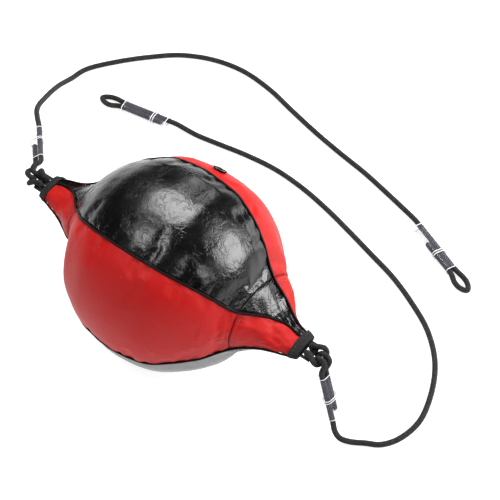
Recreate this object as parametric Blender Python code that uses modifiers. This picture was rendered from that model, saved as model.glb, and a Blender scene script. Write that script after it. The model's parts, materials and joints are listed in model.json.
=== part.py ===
"""A double-end punching ball: a five-gore leather ball drawn out to two flat mouths, a webbing
loop in each mouth, and an elastic cord hitched through each loop, with a sleeved eye at its far end.

Metres, +Z up. The origin is on the floor under the middle of the ball, +X runs along the ball's
long axis to its near end, and +Y points to the side where the cords lie.
"""

import math

import bmesh
import bpy
from mathutils import Matrix, Vector

COLLECTION = "double_end_punching_ball"
MM = 0.001
CLEARANCE = 0.3 * MM

# The leather ball.
BALL_RADIUS = 100.5 * MM
LEATHER_HALF_LENGTH = 160.0 * MM
FLOOR_SINK = 2.5 * MM  # how much the ball's own weight flattens it underneath
LEATHER_WALL = 1.5 * MM
MOUTH_HALF_WIDTH = 13.5 * MM
MOUTH_HALF_THICKNESS = 4.0 * MM
MOUTH_ROLL = math.radians(10)  # the flat mouths lie turned this far about the long axis
CROSS_SEAM = 102.0 * MM  # where each gore's neck piece starts
CROSS_SEAM_GAP = 0.4 * MM
BODY_SPANS = 11  # spans of a gore from its middle to its cross seam
NECK_SPANS = 6
GORE_SPANS = 6
NECK_GORE_SPANS = 4
END_CROWDING = 0.85  # how much closer the spans lie towards the cross seam
BALL_HEIGHT = BALL_RADIUS - FLOOR_SINK

# Share of the half length: share of the way from the mouth's half width, and half thickness, to
# the ball's radius.
PROFILE = (
    (0.00, 1.000, 1.000),
    (0.19, 0.960, 0.964),
    (0.38, 0.793, 0.814),
    (0.51, 0.603, 0.622),
    (0.60, 0.379, 0.394),
    (0.665, 0.253, 0.280),
    (0.73, 0.178, 0.187),
    (0.82, 0.103, 0.093),
    (0.92, 0.046, 0.042),
    (1.00, 0.000, 0.000),
)
# Bulges and dents where the stuffed leather folds into its necks: the end, the side of the mouth's
# width, height, middle and reach along the ball.
FOLDS = (
    (1, 1, 12.5 * MM, 110 * MM, 36 * MM),
    (1, 1, 4.2 * MM, 62 * MM, 50 * MM),
    (1, -1, -3.0 * MM, 75 * MM, 30 * MM),
    (-1, 1, 8.0 * MM, 98 * MM, 20 * MM),
    (-1, -1, -14.0 * MM, 88 * MM, 23 * MM),
)

# Gores, with the angle at which each starts, from straight up towards -Y.
FIRST_SEAM = math.radians(-33.5)
GORES = ("black_top", "red_front", "silver_front", "silver_rear", "red_back")
GORE_ANGLE = math.tau / len(GORES)
NECK_GATHER = (96.0 * MM, 142.0 * MM)  # where the black gore starts and ends narrowing
NECK_TURNS = {0: math.radians(-11), 1: math.radians(-48)}  # how far its two seams turn there

# Piping in the long seams.
PIPING_RADIUS = 1.4 * MM
PIPING_DEPTH = 0.75 * MM  # its middle below the leather's outer face
SEAM_SIDE_CLEARANCE = 0.45 * MM
PIPING_SHORT = 1.3 * MM  # how far short of the binding the piping ends

# Binding and webbing loop at each mouth.
BINDING_WIDTH = 8.0 * MM
BINDING_THICKNESS = 1.0 * MM
BINDING_OVERHANG = 0.5 * MM
WEBBING_THICKNESS = 2.2 * MM
WEBBING_WIDTH = 19.4 * MM
WEBBING_EDGE = 2.6 * MM
WEBBING_BAR = 3.7 * MM
WEBBING_SHOULDER = 1.0 * MM  # between the tail and the slot for the cord
WEBBING_TAIL_ROOM = 2.8 * MM  # between the tail's edge and the leather beside it
WEBBING_TAIL = 5.0 * MM  # the length held inside the mouth

# Bladder and valve.
BLADDER_HALF_LENGTH = 92.0 * MM
BLADDER_SLACK = 6.5 * MM  # room between the bladder and the ball's radius
BLADDER_WALL = 0.8 * MM
VALVE_RADIUS = 2.2 * MM
VALVE_CLEARANCE = 0.5 * MM
VALVE_ANGLE = math.radians(-44)
VALVE_PLACE = 2.0 * MM
VALVE_LENGTH = 9.0 * MM
EYELET_RADIUS = 5.0 * MM
EYELET_THICKNESS = 0.9 * MM

# The cords. Beside a bar or in a knot the elastic is drawn a little thinner.
CORD_DIAMETER = 5.8 * MM
KNOT_DIAMETER = 5.4 * MM
KNOT_GAP = 0.5 * MM
CORD_STEP = 11.0 * MM
KNOT_STEP = 2.7 * MM
EYE_STEP = 4.5 * MM
PAIR_OFFSET = CORD_DIAMETER / 2 + 0.2 * MM  # middle of two cords side by side to that of each
FACE_GAP = 0.3 * MM
FACE_STEP = 3.0 * MM  # a short first span keeps an end face square to its neighbour
SMOOTH_STEPS = 24

# Clear sleeves over two cords side by side, and the band on each.
SLEEVE_ROOM = 0.35 * MM
SLEEVE_WALL = 0.7 * MM
BALL_SLEEVE_LENGTH = 55.0 * MM
SLEEVE_SETBACK = 3.0 * MM  # the legs run straight this far before their sleeve
BAND_LENGTH = 3.5 * MM
BAND_WALL = 0.7 * MM
STADIUM_SPANS = 8

# The hitch round the webbing's bar, in cord diameters from the bar's middle: outwards, along the
# bar and up. The list runs from the middle of the arc that draws tight to one leg.
HITCH = (
    (1.966, 0.000, -0.500),
    (1.845, 0.800, -0.420),
    (1.580, 1.420, 0.020),
    (1.100, 1.500, 0.600),
    (0.450, 1.120, 0.900),
    (-0.328, 0.800, 0.830),
    (-0.793, 0.700, 0.448),
    (-0.879, 0.660, 0.000),
    (-0.793, 0.630, -0.448),
    (-0.328, 0.600, -0.810),
    (0.328, 0.570, -0.862),
    (0.828, 0.560, -0.500),
    (1.017, 0.550, 0.034),
    (1.362, 0.540, 0.500),
    (1.931, 0.534, 0.638),
)
HITCH_REACH = 0.879  # how far behind the bar the hitch's cord passes, in cord diameters
KNOT_HALF_LENGTH = 80.0 * MM  # the part of the hitch that is sampled finely, each way
LEG_START = (1.931, 0.000, 0.638)


class End:
    """One end of the ball and the cord on it. Places are in metres, routes from end to end."""

    def __init__(self, name, sign, legs, sleeve_at, sleeve_to, run_side, stub, band, route, eye):
        self.name = name
        self.sign = sign
        self.legs = legs  # middle of the two legs after the hitch, in cord diameters
        self.sleeve_at = Vector(sleeve_at)  # from the bar towards the sleeve, in cord diameters
        self.sleeve_to = Vector(sleeve_to).normalized()
        self.run_side = run_side  # the side of the sleeve on which the cord runs on
        self.stub = stub  # share of the ball sleeve that the cut end reaches
        self.band = band  # share of the ball sleeve at which its band sits
        self.route = [Vector(point) for point in route]
        self.eye_at, self.eye_to, self.eye_side, self.eye_stub, self.eye_band = eye
        self.eye_at = Vector(self.eye_at)
        self.eye_to = Vector(self.eye_to)


NEAR = End(
    name="near",
    sign=1,
    legs=((2.420, -0.023, 0.562), (2.800, -0.178, 0.255), (2.950, -0.544, -0.209), (2.860, -0.985, -0.689)),
    sleeve_at=(2.86, -1.05, -1.55),
    sleeve_to=(0.0137, 0, -0.0533),
    run_side=-1,
    stub=0.85,
    band=0.55,
    route=(
        (0.2056, -0.0092, 0.0147),
        (0.2106, -0.0074, 0.0063),
        (0.2188, -0.0028, 0.0031),
        (0.2310, 0.0050, 0.0030),
        (0.2430, 0.0125, 0.0030),
        (0.2525, 0.0275, 0.0030),
        (0.2565, 0.0560, 0.0030),
        (0.2460, 0.0920, 0.0030),
        (0.2270, 0.1250, 0.0030),
        (0.1990, 0.1520, 0.0030),
        (0.1660, 0.1710, 0.0030),
        (0.1320, 0.1860, 0.0030),
        (0.0960, 0.1970, 0.0030),
        (0.0590, 0.2080, 0.0030),
        (0.0220, 0.2180, 0.0030),
        (-0.0160, 0.2255, 0.0030),
        (-0.0540, 0.2285, 0.0030),
        (-0.0900, 0.2255, 0.0030),
        (-0.1270, 0.2190, 0.0030),
        (-0.1520, 0.2145, 0.0035),
    ),
    eye=((-0.1874, 0.2078, 0.0051), (-0.2417, 0.1985, 0.0051), -1, 0.12, 0.30),
)
FAR = End(
    name="far",
    sign=-1,
    legs=((2.450, 0.108, 0.611), (2.830, 0.412, 0.496), (3.030, 0.947, 0.300), (3.100, 1.584, 0.056),
          (3.200, 2.201, -0.185), (3.420, 2.768, -0.427)),
    sleeve_at=(-3.74, 3.25, -0.05),
    sleeve_to=(-0.0395, 0.0380, -0.0137),
    run_side=1,
    stub=0.50,
    band=0.60,
    route=(
        (-0.2640, 0.0900, 0.0690),
        (-0.2900, 0.1280, 0.0420),
        (-0.3076, 0.1657, 0.0200),
        (-0.3135, 0.1910, 0.0080),
        (-0.3136, 0.2158, 0.0036),
        (-0.2950, 0.2470, 0.0030),
        (-0.2720, 0.2750, 0.0030),
        (-0.2460, 0.3000, 0.0030),
        (-0.2130, 0.3170, 0.0030),
        (-0.1760, 0.3240, 0.0030),
        (-0.1350, 0.3200, 0.0030),
        (-0.0930, 0.3090, 0.0030),
        (-0.0530, 0.2990, 0.0030),
        (-0.0140, 0.2910, 0.0030),
        (0.0250, 0.2840, 0.0030),
        (0.0520, 0.2775, 0.0030),
        (0.0780, 0.2705, 0.0035),
    ),
    eye=((0.1133, 0.2554, 0.0051), (0.1744, 0.2300, 0.0051), 1, 0.38, 0.62),
)
ENDS = (NEAR, FAR)

# The eye beyond its sleeve: distance past the sleeve, distance from its axis, height.
EYE = ((6, 4.0, 4.8), (13, 5.6, 3.7), (20, 5.4, 3.1), (26, 2.9, 3.0), (28.5, 0.0, 3.0))

BLACK_LEATHER = (0.012, 0.012, 0.013)
RED_LEATHER = (0.52, 0.022, 0.018)
SILVER_LEATHER = (0.24, 0.23, 0.225)
FINISHES = {
    "black": (BLACK_LEATHER, 0.28),
    "red": (RED_LEATHER, 0.42),
    "silver": (SILVER_LEATHER, 0.35),
    "trim": ((0.010, 0.010, 0.010), 0.55),
    "webbing": ((0.018, 0.018, 0.018), 0.85),
    "cord": ((0.022, 0.022, 0.023), 0.75),
    "rubber": ((0.05, 0.045, 0.04), 0.6),
    "sleeve": ((0.80, 0.82, 0.84), 0.12),
    "band": ((0.75, 0.75, 0.75), 0.30),
    "eyelet": ((0.30, 0.30, 0.31), 0.30),
}


def clear_scene():
    """Removes everything that the new file starts with."""
    for obj in list(bpy.data.objects):
        bpy.data.objects.remove(obj)


def finish(obj, look):
    """Gives the object a material of its own."""
    color, roughness = FINISHES[look]
    material = bpy.data.materials.new(obj.name)
    material.use_nodes = True
    shader = material.node_tree.nodes["Principled BSDF"]
    shader.inputs["Base Color"].default_value = (*color, 1)
    shader.inputs["Roughness"].default_value = roughness
    shader.inputs["Metallic"].default_value = 0
    material.diffuse_color = (*color, 1)
    obj.data.materials.clear()
    obj.data.materials.append(material)


def add_object(name, data, look):
    """An object of the mesh or curve in the part's collection."""
    obj = bpy.data.objects.new(name, data)
    bpy.data.collections[COLLECTION].objects.link(obj)
    finish(obj, look)
    return obj


def adopt_active(name, look):
    """Takes the primitive just made into the part's collection."""
    obj = bpy.context.object
    for collection in list(obj.users_collection):
        collection.objects.unlink(obj)
    bpy.data.collections[COLLECTION].objects.link(obj)
    obj.name = name
    obj.data.name = name
    finish(obj, look)
    return obj


# ---------------------------------------------------------------- the ball's surface


def slopes(places, values):
    """Tangents for a curve through the values that never overshoots them."""
    secants = [
        (values[i + 1] - values[i]) / (places[i + 1] - places[i]) for i in range(len(places) - 1)
    ]
    inner = [
        0 if before * after <= 0 else 2 * before * after / (before + after)
        for before, after in zip(secants, secants[1:])
    ]
    return [0, *inner, secants[-1]]


def share_at(column, place):
    """The profile's share in one column at a share of the half length."""
    places = [row[0] for row in PROFILE]
    values = [row[column] for row in PROFILE]
    tangents = slopes(places, values)
    span = max(i for i in range(len(places) - 1) if i == 0 or places[i] <= place)
    width = places[span + 1] - places[span]
    t = min(1, (place - places[span]) / width)
    start = (1 + 2 * t) * (1 - t) ** 2 * values[span] + t * (1 - t) ** 2 * width * tangents[span]
    stop = t * t * (3 - 2 * t) * values[span + 1] + t * t * (t - 1) * width * tangents[span + 1]
    return start + stop


def fold_height(x, side):
    """What the folds add to the half width at one place and side."""
    total = 0
    for end, fold_side, height, middle, reach in FOLDS:
        away = (abs(x) - middle) / reach
        if x * end > 0 and side * fold_side > 0 and abs(away) < 1:
            total += height * math.cos(math.pi / 2 * away) ** 2
    return total


def half_sizes(x, turn, depth):
    """Half width and half thickness of the section at x, that far below the leather's face."""
    place = abs(x) / LEATHER_HALF_LENGTH
    width = MOUTH_HALF_WIDTH + (BALL_RADIUS - MOUTH_HALF_WIDTH) * share_at(1, place)
    thick = MOUTH_HALF_THICKNESS + (BALL_RADIUS - MOUTH_HALF_THICKNESS) * share_at(2, place)
    width += fold_height(x, -math.sin(turn)) * abs(math.sin(turn))
    return width - depth, thick - depth


def mouth_axes():
    """The directions along a mouth's width and its thickness."""
    width = Vector((0, math.cos(MOUTH_ROLL), math.sin(MOUTH_ROLL)))
    thick = Vector((0, -math.sin(MOUTH_ROLL), math.cos(MOUTH_ROLL)))
    return width, thick


def ball_point(x, angle, depth=0.0, floor=None):
    """The point at an angle from straight up towards -Y, that far below the leather's face."""
    turn = angle - MOUTH_ROLL
    width, thick = half_sizes(x, turn, depth)
    along_width, along_thick = mouth_axes()
    point = Vector((x, 0, BALL_HEIGHT))
    point += along_thick * (thick * math.cos(turn)) - along_width * (width * math.sin(turn))
    point.z = max(point.z, depth if floor is None else floor)
    return point


def seam_angle(index, x):
    """The angle of a gore's first seam. The black gore is gathered narrow in both necks."""
    start, stop = NECK_GATHER
    share = min(max((abs(x) - start) / (stop - start), 0.0), 1.0)
    gathered = NECK_TURNS.get(index % len(GORES), 0.0) * share * share * (3 - 2 * share)
    return FIRST_SEAM + GORE_ANGLE * index + gathered


def seam_margin(x, index):
    """The angle that the piping and its clearance take up on one side of a seam."""
    angle = seam_angle(index, x)
    turn = angle - MOUTH_ROLL
    width, thick = half_sizes(x, turn, PIPING_DEPTH)
    per_radian = math.hypot(width * math.cos(turn), thick * math.sin(turn))
    slant = (seam_angle(index, x + MM) - seam_angle(index, x - MM)) / (2 * MM) * per_radian
    return (PIPING_RADIUS + SEAM_SIDE_CLEARANCE) * math.hypot(1, slant) / per_radian


def body_stations():
    """Places along the ball from one cross seam to the other."""
    end = CROSS_SEAM - CROSS_SEAM_GAP / 2
    quarter = math.pi / 2 * END_CROWDING
    half = [end * math.sin(quarter * i / BODY_SPANS) / math.sin(quarter) for i in range(BODY_SPANS + 1)]
    return [-x for x in reversed(half[1:])] + half


def neck_stations(sign):
    """Places along a neck, in order of growing x."""
    start = CROSS_SEAM + CROSS_SEAM_GAP / 2
    step = (LEATHER_HALF_LENGTH - start) / NECK_SPANS
    return sorted(sign * (start + step * i) for i in range(NECK_SPANS + 1))


# ---------------------------------------------------------------- lofts


def loft_shell(name, outer, inner, look):
    """A closed wall between two grids of points with the same rows and columns."""
    mesh = bmesh.new()
    rows, columns = len(outer), len(outer[0])
    grids = [[[mesh.verts.new(p) for p in row] for row in grid] for grid in (outer, inner)]
    for grid in grids:
        for i in range(rows - 1):
            for j in range(columns - 1):
                mesh.faces.new((grid[i][j], grid[i][j + 1], grid[i + 1][j + 1], grid[i + 1][j]))
    rim = [(i, 0) for i in range(rows)]
    rim += [(rows - 1, j) for j in range(1, columns)]
    rim += [(i, columns - 1) for i in range(rows - 2, -1, -1)]
    rim += [(0, j) for j in range(columns - 2, 0, -1)]
    add_rim(mesh, grids, rim)
    return finish_mesh(name, mesh, look)


def add_rim(mesh, grids, rim):
    """Joins two grids along a closed list of places."""
    outer, inner = grids
    for (a, b), (c, d) in zip(rim, rim[1:] + rim[:1]):
        mesh.faces.new((outer[a][b], outer[c][d], inner[c][d], inner[a][b]))


def loft_ring(name, outer, inner, look):
    """A closed ring between two grids whose rows are closed loops."""
    mesh = bmesh.new()
    grids = [[[mesh.verts.new(p) for p in row] for row in grid] for grid in (outer, inner)]
    columns = len(outer[0])
    for grid in grids:
        for low, high in zip(grid, grid[1:]):
            for j in range(columns):
                k = (j + 1) % columns
                mesh.faces.new((low[j], low[k], high[k], high[j]))
    for row in (0, -1):
        for j in range(columns):
            k = (j + 1) % columns
            mesh.faces.new((grids[0][row][j], grids[0][row][k], grids[1][row][k], grids[1][row][j]))
    return finish_mesh(name, mesh, look)


def finish_mesh(name, mesh, look):
    """Turns the bmesh's faces outwards and makes an object of it."""
    bmesh.ops.recalc_face_normals(mesh, faces=mesh.faces)
    data = bpy.data.meshes.new(name)
    mesh.to_mesh(data)
    mesh.free()
    return add_object(name, data, look)


# ---------------------------------------------------------------- leather


def gore_angles(start, stop, spans):
    """Angles across a gore, one of them moved to where the flattened underside ends."""
    angles = [start + (stop - start) * i / spans for i in range(spans + 1)]
    flat = math.acos(BALL_HEIGHT / BALL_RADIUS)
    for edge in (math.pi - flat, math.pi + flat):
        if start < edge < stop:
            nearest = min(range(1, spans), key=lambda i: abs(angles[i] - edge))
            angles[nearest] = edge
    return angles


def leather_piece(name, index, stations, spans, look):
    """One gore's leather over the given places along the ball."""
    outer, inner = [], []
    for x in stations:
        start = seam_angle(index, x) + seam_margin(x, index)
        stop = seam_angle(index + 1, x) - seam_margin(x, index + 1)
        angles = gore_angles(start, stop, spans)
        outer.append([ball_point(x, angle) for angle in angles])
        inner.append([ball_point(x, angle, LEATHER_WALL) for angle in angles])
    return loft_shell(name, outer, inner, look)


def add_leather():
    """Five gores and a neck piece at each end of every gore."""
    for index, gore in enumerate(GORES):
        look = gore.split("_")[0]
        panel = leather_piece(f"panel_{gore}", index, body_stations(), GORE_SPANS, look)
        if panel.name == "panel_red_back":
            cut_valve_hole(panel)
        for end in ENDS:
            name = f"neck_{end.name}_{gore}"
            leather_piece(name, index, neck_stations(end.sign), NECK_GORE_SPANS, look)


def add_piping():
    """A cord of piping in each of the five long seams."""
    necks = neck_stations(-1) + neck_stations(1)
    last = LEATHER_HALF_LENGTH - BINDING_WIDTH - PIPING_SHORT
    stations = [-last] + [x for x in sorted(body_stations() + necks) if abs(x) < last] + [last]
    for index, gore in enumerate(GORES):
        points = [ball_point(x, seam_angle(index, x), PIPING_DEPTH, PIPING_RADIUS) for x in stations]
        add_tube(f"piping_{GORES[index - 1]}_{gore}", points, PIPING_RADIUS, "trim", sides=1)


# ---------------------------------------------------------------- mouths


def mouth_loop(x, depth, spans=20):
    """Closed section of the mouth, that far below the leather's face."""
    return [ball_point(x, math.tau * i / spans, depth) for i in range(spans)]


def add_binding(end):
    """The tape bound round the raw edge of a mouth."""
    last = LEATHER_HALF_LENGTH
    places = [last - BINDING_WIDTH, last - BINDING_WIDTH / 2, last]
    near_face = [mouth_loop(end.sign * x, -CLEARANCE) for x in places]
    far_face = [mouth_loop(end.sign * x, -CLEARANCE - BINDING_THICKNESS) for x in places]
    for face in (near_face, far_face):
        overhang = Vector((end.sign * BINDING_OVERHANG, 0, 0))
        face.append([point + overhang for point in face[-1]])
    loft_ring(f"binding_{end.name}", far_face, near_face, "trim")


def mouth_end():
    """How far out the bound mouth reaches."""
    return LEATHER_HALF_LENGTH + BINDING_OVERHANG


def bar_place():
    """How far out the middle of the webbing's bar is."""
    slot = mouth_end() + CLEARANCE + WEBBING_SHOULDER
    return slot + KNOT_GAP + HITCH_REACH * CORD_DIAMETER + KNOT_DIAMETER / 2


def bar_centre(end):
    """The middle of the webbing's bar, where the hitch turns."""
    return Vector((end.sign * bar_place(), 0, BALL_HEIGHT))


def flat_piece(name, outlines, thickness, place, look):
    """A flat outline, with any holes after it, extruded about the plane of the placing matrix."""
    curve = bpy.data.curves.new(name, "CURVE")
    curve.dimensions = "2D"
    curve.fill_mode = "BOTH"
    curve.extrude = thickness / 2
    for outline in outlines:
        spline = curve.splines.new("POLY")
        spline.points.add(len(outline) - 1)
        for point, (u, v) in zip(spline.points, outline):
            point.co = (u, v, 0, 1)
        spline.use_cyclic_u = True
    obj = add_object(name, curve, look)
    obj.matrix_world = place
    return obj


def frame_matrix(first, second, origin):
    """A placing matrix whose X and Y lie along the two directions."""
    third = first.cross(second)
    turn = Matrix((first, second, third)).transposed().to_4x4()
    return Matrix.Translation(origin) @ turn


def add_webbing_loop(end):
    """The flat loop of webbing that the hitch turns round, its tail held inside the mouth."""
    bar = WEBBING_BAR / 2
    back = mouth_end() - bar_place()
    half = WEBBING_WIDTH / 2
    tail = MOUTH_HALF_WIDTH - LEATHER_WALL - WEBBING_TAIL_ROOM
    shoulder = back + CLEARANCE
    outline = (
        (back - WEBBING_TAIL, -tail), (shoulder, -tail), (shoulder, -half), (bar, -half),
        (bar, half), (shoulder, half), (shoulder, tail), (back - WEBBING_TAIL, tail),
    )
    side = half - WEBBING_EDGE
    slot_start = shoulder + WEBBING_SHOULDER
    slot = ((slot_start, -side), (-bar, -side), (-bar, side), (slot_start, side))
    width, _ = mouth_axes()
    place = frame_matrix(Vector((end.sign, 0, 0)), width, bar_centre(end))
    flat_piece(f"webbing_loop_{end.name}", (outline, slot), WEBBING_THICKNESS, place, "webbing")


# ---------------------------------------------------------------- bladder and valve


def valve_direction():
    """Outwards through the valve."""
    return Vector((0, -math.sin(VALVE_ANGLE), math.cos(VALVE_ANGLE)))


def valve_matrix(distance):
    """Places a piece on the valve's axis, that far from the ball's long axis."""
    outwards = valve_direction()
    across = Vector((1, 0, 0))
    place = frame_matrix(across, outwards.cross(across), Vector((0, 0, 0)))
    centre = Vector((VALVE_PLACE, 0, BALL_HEIGHT)) + outwards * distance
    return Matrix.Translation(centre) @ place


def add_cylinder(name, radius, length, distance, look):
    """A plain cylinder on the valve's axis."""
    bpy.ops.mesh.primitive_cylinder_add(vertices=16, radius=radius, depth=length)
    obj = adopt_active(name, look)
    obj.matrix_world = valve_matrix(distance)
    return obj


def cut_with(obj, cutter):
    """Cuts the cutter out of the object and puts the cutter away."""
    boolean = obj.modifiers.new("hole", "BOOLEAN")
    boolean.operation = "DIFFERENCE"
    boolean.solver = "EXACT"
    boolean.object = cutter
    cutter.hide_render = True
    cutter.display_type = "WIRE"
    bpy.data.collections[COLLECTION].objects.unlink(cutter)
    bpy.data.collections["cutters"].objects.link(cutter)


def cut_valve_hole(obj):
    """The hole that the valve passes through."""
    radius = VALVE_RADIUS + VALVE_CLEARANCE
    cutter = add_cylinder(f"cut_{obj.name}", radius, VALVE_LENGTH * 2, BALL_RADIUS, "rubber")
    cut_with(obj, cutter)


def add_bladder():
    """The rubber bladder that keeps the ball round, and its valve."""
    bpy.ops.mesh.primitive_uv_sphere_add(segments=20, ring_count=12, radius=1)
    bladder = adopt_active("bladder", "rubber")
    bladder.location = (0, 0, BALL_HEIGHT)
    radius = BALL_RADIUS - BLADDER_SLACK
    for vertex in bladder.data.vertices:
        x, y, z = vertex.co
        vertex.co = (z * BLADDER_HALF_LENGTH, x * radius, y * radius)
    wall = bladder.modifiers.new("wall", "SOLIDIFY")
    wall.thickness = BLADDER_WALL
    wall.offset = -1
    cut_valve_hole(bladder)
    valve_middle = BALL_RADIUS + CLEARANCE - VALVE_LENGTH / 2
    add_cylinder("valve", VALVE_RADIUS, VALVE_LENGTH, valve_middle, "rubber")


def add_eyelet():
    """The washer round the valve on the leather's face."""
    def circle(radius, spans=20):
        turns = [math.tau * i / spans for i in range(spans)]
        return [(radius * math.cos(a), radius * math.sin(a)) for a in turns]

    outlines = (circle(EYELET_RADIUS), circle(VALVE_RADIUS + VALVE_CLEARANCE))
    place = valve_matrix(BALL_RADIUS + CLEARANCE + EYELET_THICKNESS / 2)
    flat_piece("valve_eyelet", outlines, EYELET_THICKNESS, place, "eyelet")


# ---------------------------------------------------------------- cords


def smooth_curve(points):
    """Closely spaced points on the centripetal Catmull-Rom curve through the given ones."""
    padded = [points[0] * 2 - points[1], *points, points[-1] * 2 - points[-2]]
    curve = []
    for p0, p1, p2, p3 in zip(padded, padded[1:], padded[2:], padded[3:]):
        t1 = math.sqrt((p1 - p0).length)
        t2 = t1 + math.sqrt((p2 - p1).length)
        t3 = t2 + math.sqrt((p3 - p2).length)
        for step in range(SMOOTH_STEPS):
            t = t1 + (t2 - t1) * step / SMOOTH_STEPS
            a1 = p0.lerp(p1, t / t1)
            a2 = p1.lerp(p2, (t - t1) / (t2 - t1))
            a3 = p2.lerp(p3, (t - t2) / (t3 - t2))
            b1 = a1.lerp(a2, t / t2)
            b2 = a2.lerp(a3, (t - t1) / (t3 - t1))
            curve.append(b1.lerp(b2, (t - t1) / (t2 - t1)))
    curve.append(points[-1])
    return curve


def travelled(curve):
    """Distance along the curve at each of its points."""
    distances = [0.0]
    for before, after in zip(curve, curve[1:]):
        distances.append(distances[-1] + (after - before).length)
    return distances


def points_at(curve, places):
    """The curve's points at rising distances along it."""
    distances = travelled(curve)
    found, span = [], 0
    for place in places:
        while span < len(curve) - 2 and distances[span + 1] < place:
            span += 1
        width = distances[span + 1] - distances[span]
        found.append(curve[span].lerp(curve[span + 1], (place - distances[span]) / width))
    return found


def even_places(start, stop, step):
    """Distances from start to stop, about a step apart."""
    spans = max(1, round((stop - start) / step))
    return [start + (stop - start) * i / spans for i in range(spans + 1)]


def add_tube(name, points, radius, look, sides=2):
    """A round tube with capped ends through the points."""
    curve = bpy.data.curves.new(name, "CURVE")
    curve.dimensions = "3D"
    curve.bevel_depth = radius
    curve.bevel_resolution = sides
    curve.use_fill_caps = True
    spline = curve.splines.new("POLY")
    spline.points.add(len(points) - 1)
    for point, place in zip(spline.points, points):
        point.co = (*place, 1)
    return add_object(name, curve, look)


def hitch_point(end, place, mirror=1):
    """World place of a point given in cord diameters from the bar."""
    out, along, up = (share * CORD_DIAMETER for share in place)
    width, thick = mouth_axes()
    return bar_centre(end) + Vector((end.sign * out, 0, 0)) + width * (along * mirror) + thick * up


def leg_end(end):
    """Where the legs of the hitch straighten towards their sleeve."""
    return bar_centre(end) + end.sleeve_at * CORD_DIAMETER


def sleeve_ends(end):
    """Both ends of the axis of the sleeve beside the ball."""
    start = leg_end(end) + end.sleeve_to * SLEEVE_SETBACK
    return start, start + end.sleeve_to * BALL_SLEEVE_LENGTH


def side_of(direction):
    """The direction from one cord of a pair to the other, square to the way that they run."""
    width, _ = mouth_axes()
    return (width - direction * width.dot(direction)).normalized()


def leg_points(end, side, reach):
    """One leg from the hitch into the sleeve, as far as a share of the sleeve's length."""
    start, stop = sleeve_ends(end)
    middle = [hitch_point(end, LEG_START)] + [hitch_point(end, leg) for leg in end.legs]
    middle += [leg_end(end), start]
    middle += [start.lerp(stop, reach / 2), start.lerp(stop, reach)]
    points = []
    for i, place in enumerate(middle):
        before, after = middle[max(0, i - 1)], middle[min(len(middle) - 1, i + 1)]
        points.append(place + side_of((after - before).normalized()) * (PAIR_OFFSET * side))
    return points[1:]


def add_hitch(end):
    """The end of the cord, doubled round the webbing's bar and back into the sleeve."""
    ring = [hitch_point(end, place) for place in HITCH]
    mirrored = [hitch_point(end, place, -1) for place in HITCH[:0:-1]]
    run_reach, stub_reach = 1.0, end.stub
    plus = leg_points(end, 1, run_reach if end.run_side > 0 else stub_reach)
    minus = leg_points(end, -1, run_reach if end.run_side < 0 else stub_reach)
    curve = smooth_curve(minus[::-1] + mirrored + ring + plus)
    length = travelled(curve)[-1]
    middle = travelled(smooth_curve(minus[::-1] + mirrored + ring[:1]))[-1]
    low, high = middle - KNOT_HALF_LENGTH, middle + KNOT_HALF_LENGTH
    places = even_places(0, low, CORD_STEP)[:-1] + even_places(low, high, KNOT_STEP)
    places += even_places(high, length, CORD_STEP)[1:]
    add_tube(f"hitch_{end.name}", points_at(curve, places), KNOT_DIAMETER / 2, "cord")


def eye_frame(end):
    """The eye sleeve's direction on the floor and the direction to its side."""
    along = (end.eye_to - end.eye_at).normalized()
    return along, Vector((-along.y, along.x, 0))


def run_points(end):
    """The cord's own route, from the ball's sleeve to the eye's sleeve."""
    start, stop = sleeve_ends(end)
    direction = (stop - start).normalized()
    first = stop + side_of(direction) * (PAIR_OFFSET * end.run_side) + direction * FACE_GAP
    along, side = eye_frame(end)
    last = end.eye_at + side * (PAIR_OFFSET * end.eye_side) - along * FACE_GAP
    lead_in = [first, first + direction * FACE_STEP, first + direction * CORD_DIAMETER]
    lead_out = [last - along * CORD_DIAMETER * 1.5, last - along * FACE_STEP, last]
    return lead_in + end.route + lead_out


def add_run(end):
    """The free stretch of the cord."""
    curve = smooth_curve(run_points(end))
    length = travelled(curve)[-1]
    places = [0, *even_places(FACE_STEP, length - FACE_STEP, CORD_STEP), length]
    add_tube(f"cord_{end.name}", points_at(curve, places), CORD_DIAMETER / 2, "cord")


def add_eye(end):
    """The cord's far end: through the sleeve, round the eye and back into the sleeve."""
    along, side = eye_frame(end)
    length = (end.eye_to - end.eye_at).length
    lead = end.eye_side
    points = [end.eye_at + side * (PAIR_OFFSET * lead) + along * (length * share) for share in (0, 0.5, 1)]
    height = end.eye_at.z

    def eye_point(place, hand):
        forward, across, up = (value * MM for value in place)
        point = end.eye_to + along * forward + side * (across * hand)
        point.z = max(up, CORD_DIAMETER / 2) if up < height else height
        return point

    points += [eye_point(place, lead) for place in EYE]
    points += [eye_point(place, -lead) for place in EYE[-2::-1]]
    back = (1, (1 + end.eye_stub) / 2, end.eye_stub)
    points += [end.eye_at - side * (PAIR_OFFSET * lead) + along * (length * share) for share in back]
    curve = smooth_curve(points)
    spaced = points_at(curve, even_places(0, travelled(curve)[-1], EYE_STEP))
    add_tube(f"eye_{end.name}", spaced, CORD_DIAMETER / 2, "cord")


# ---------------------------------------------------------------- sleeves and bands


def stadium(grow):
    """Outline round two cords side by side, grown by a margin."""
    radius = CORD_DIAMETER / 2 + grow
    points = []
    for hand in (1, -1):
        for i in range(STADIUM_SPANS + 1):
            turn = math.pi * i / STADIUM_SPANS - math.pi / 2
            place = (PAIR_OFFSET + radius * math.cos(turn), radius * math.sin(turn))
            points.append((place[0] * hand, place[1] * hand))
    return points


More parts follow.
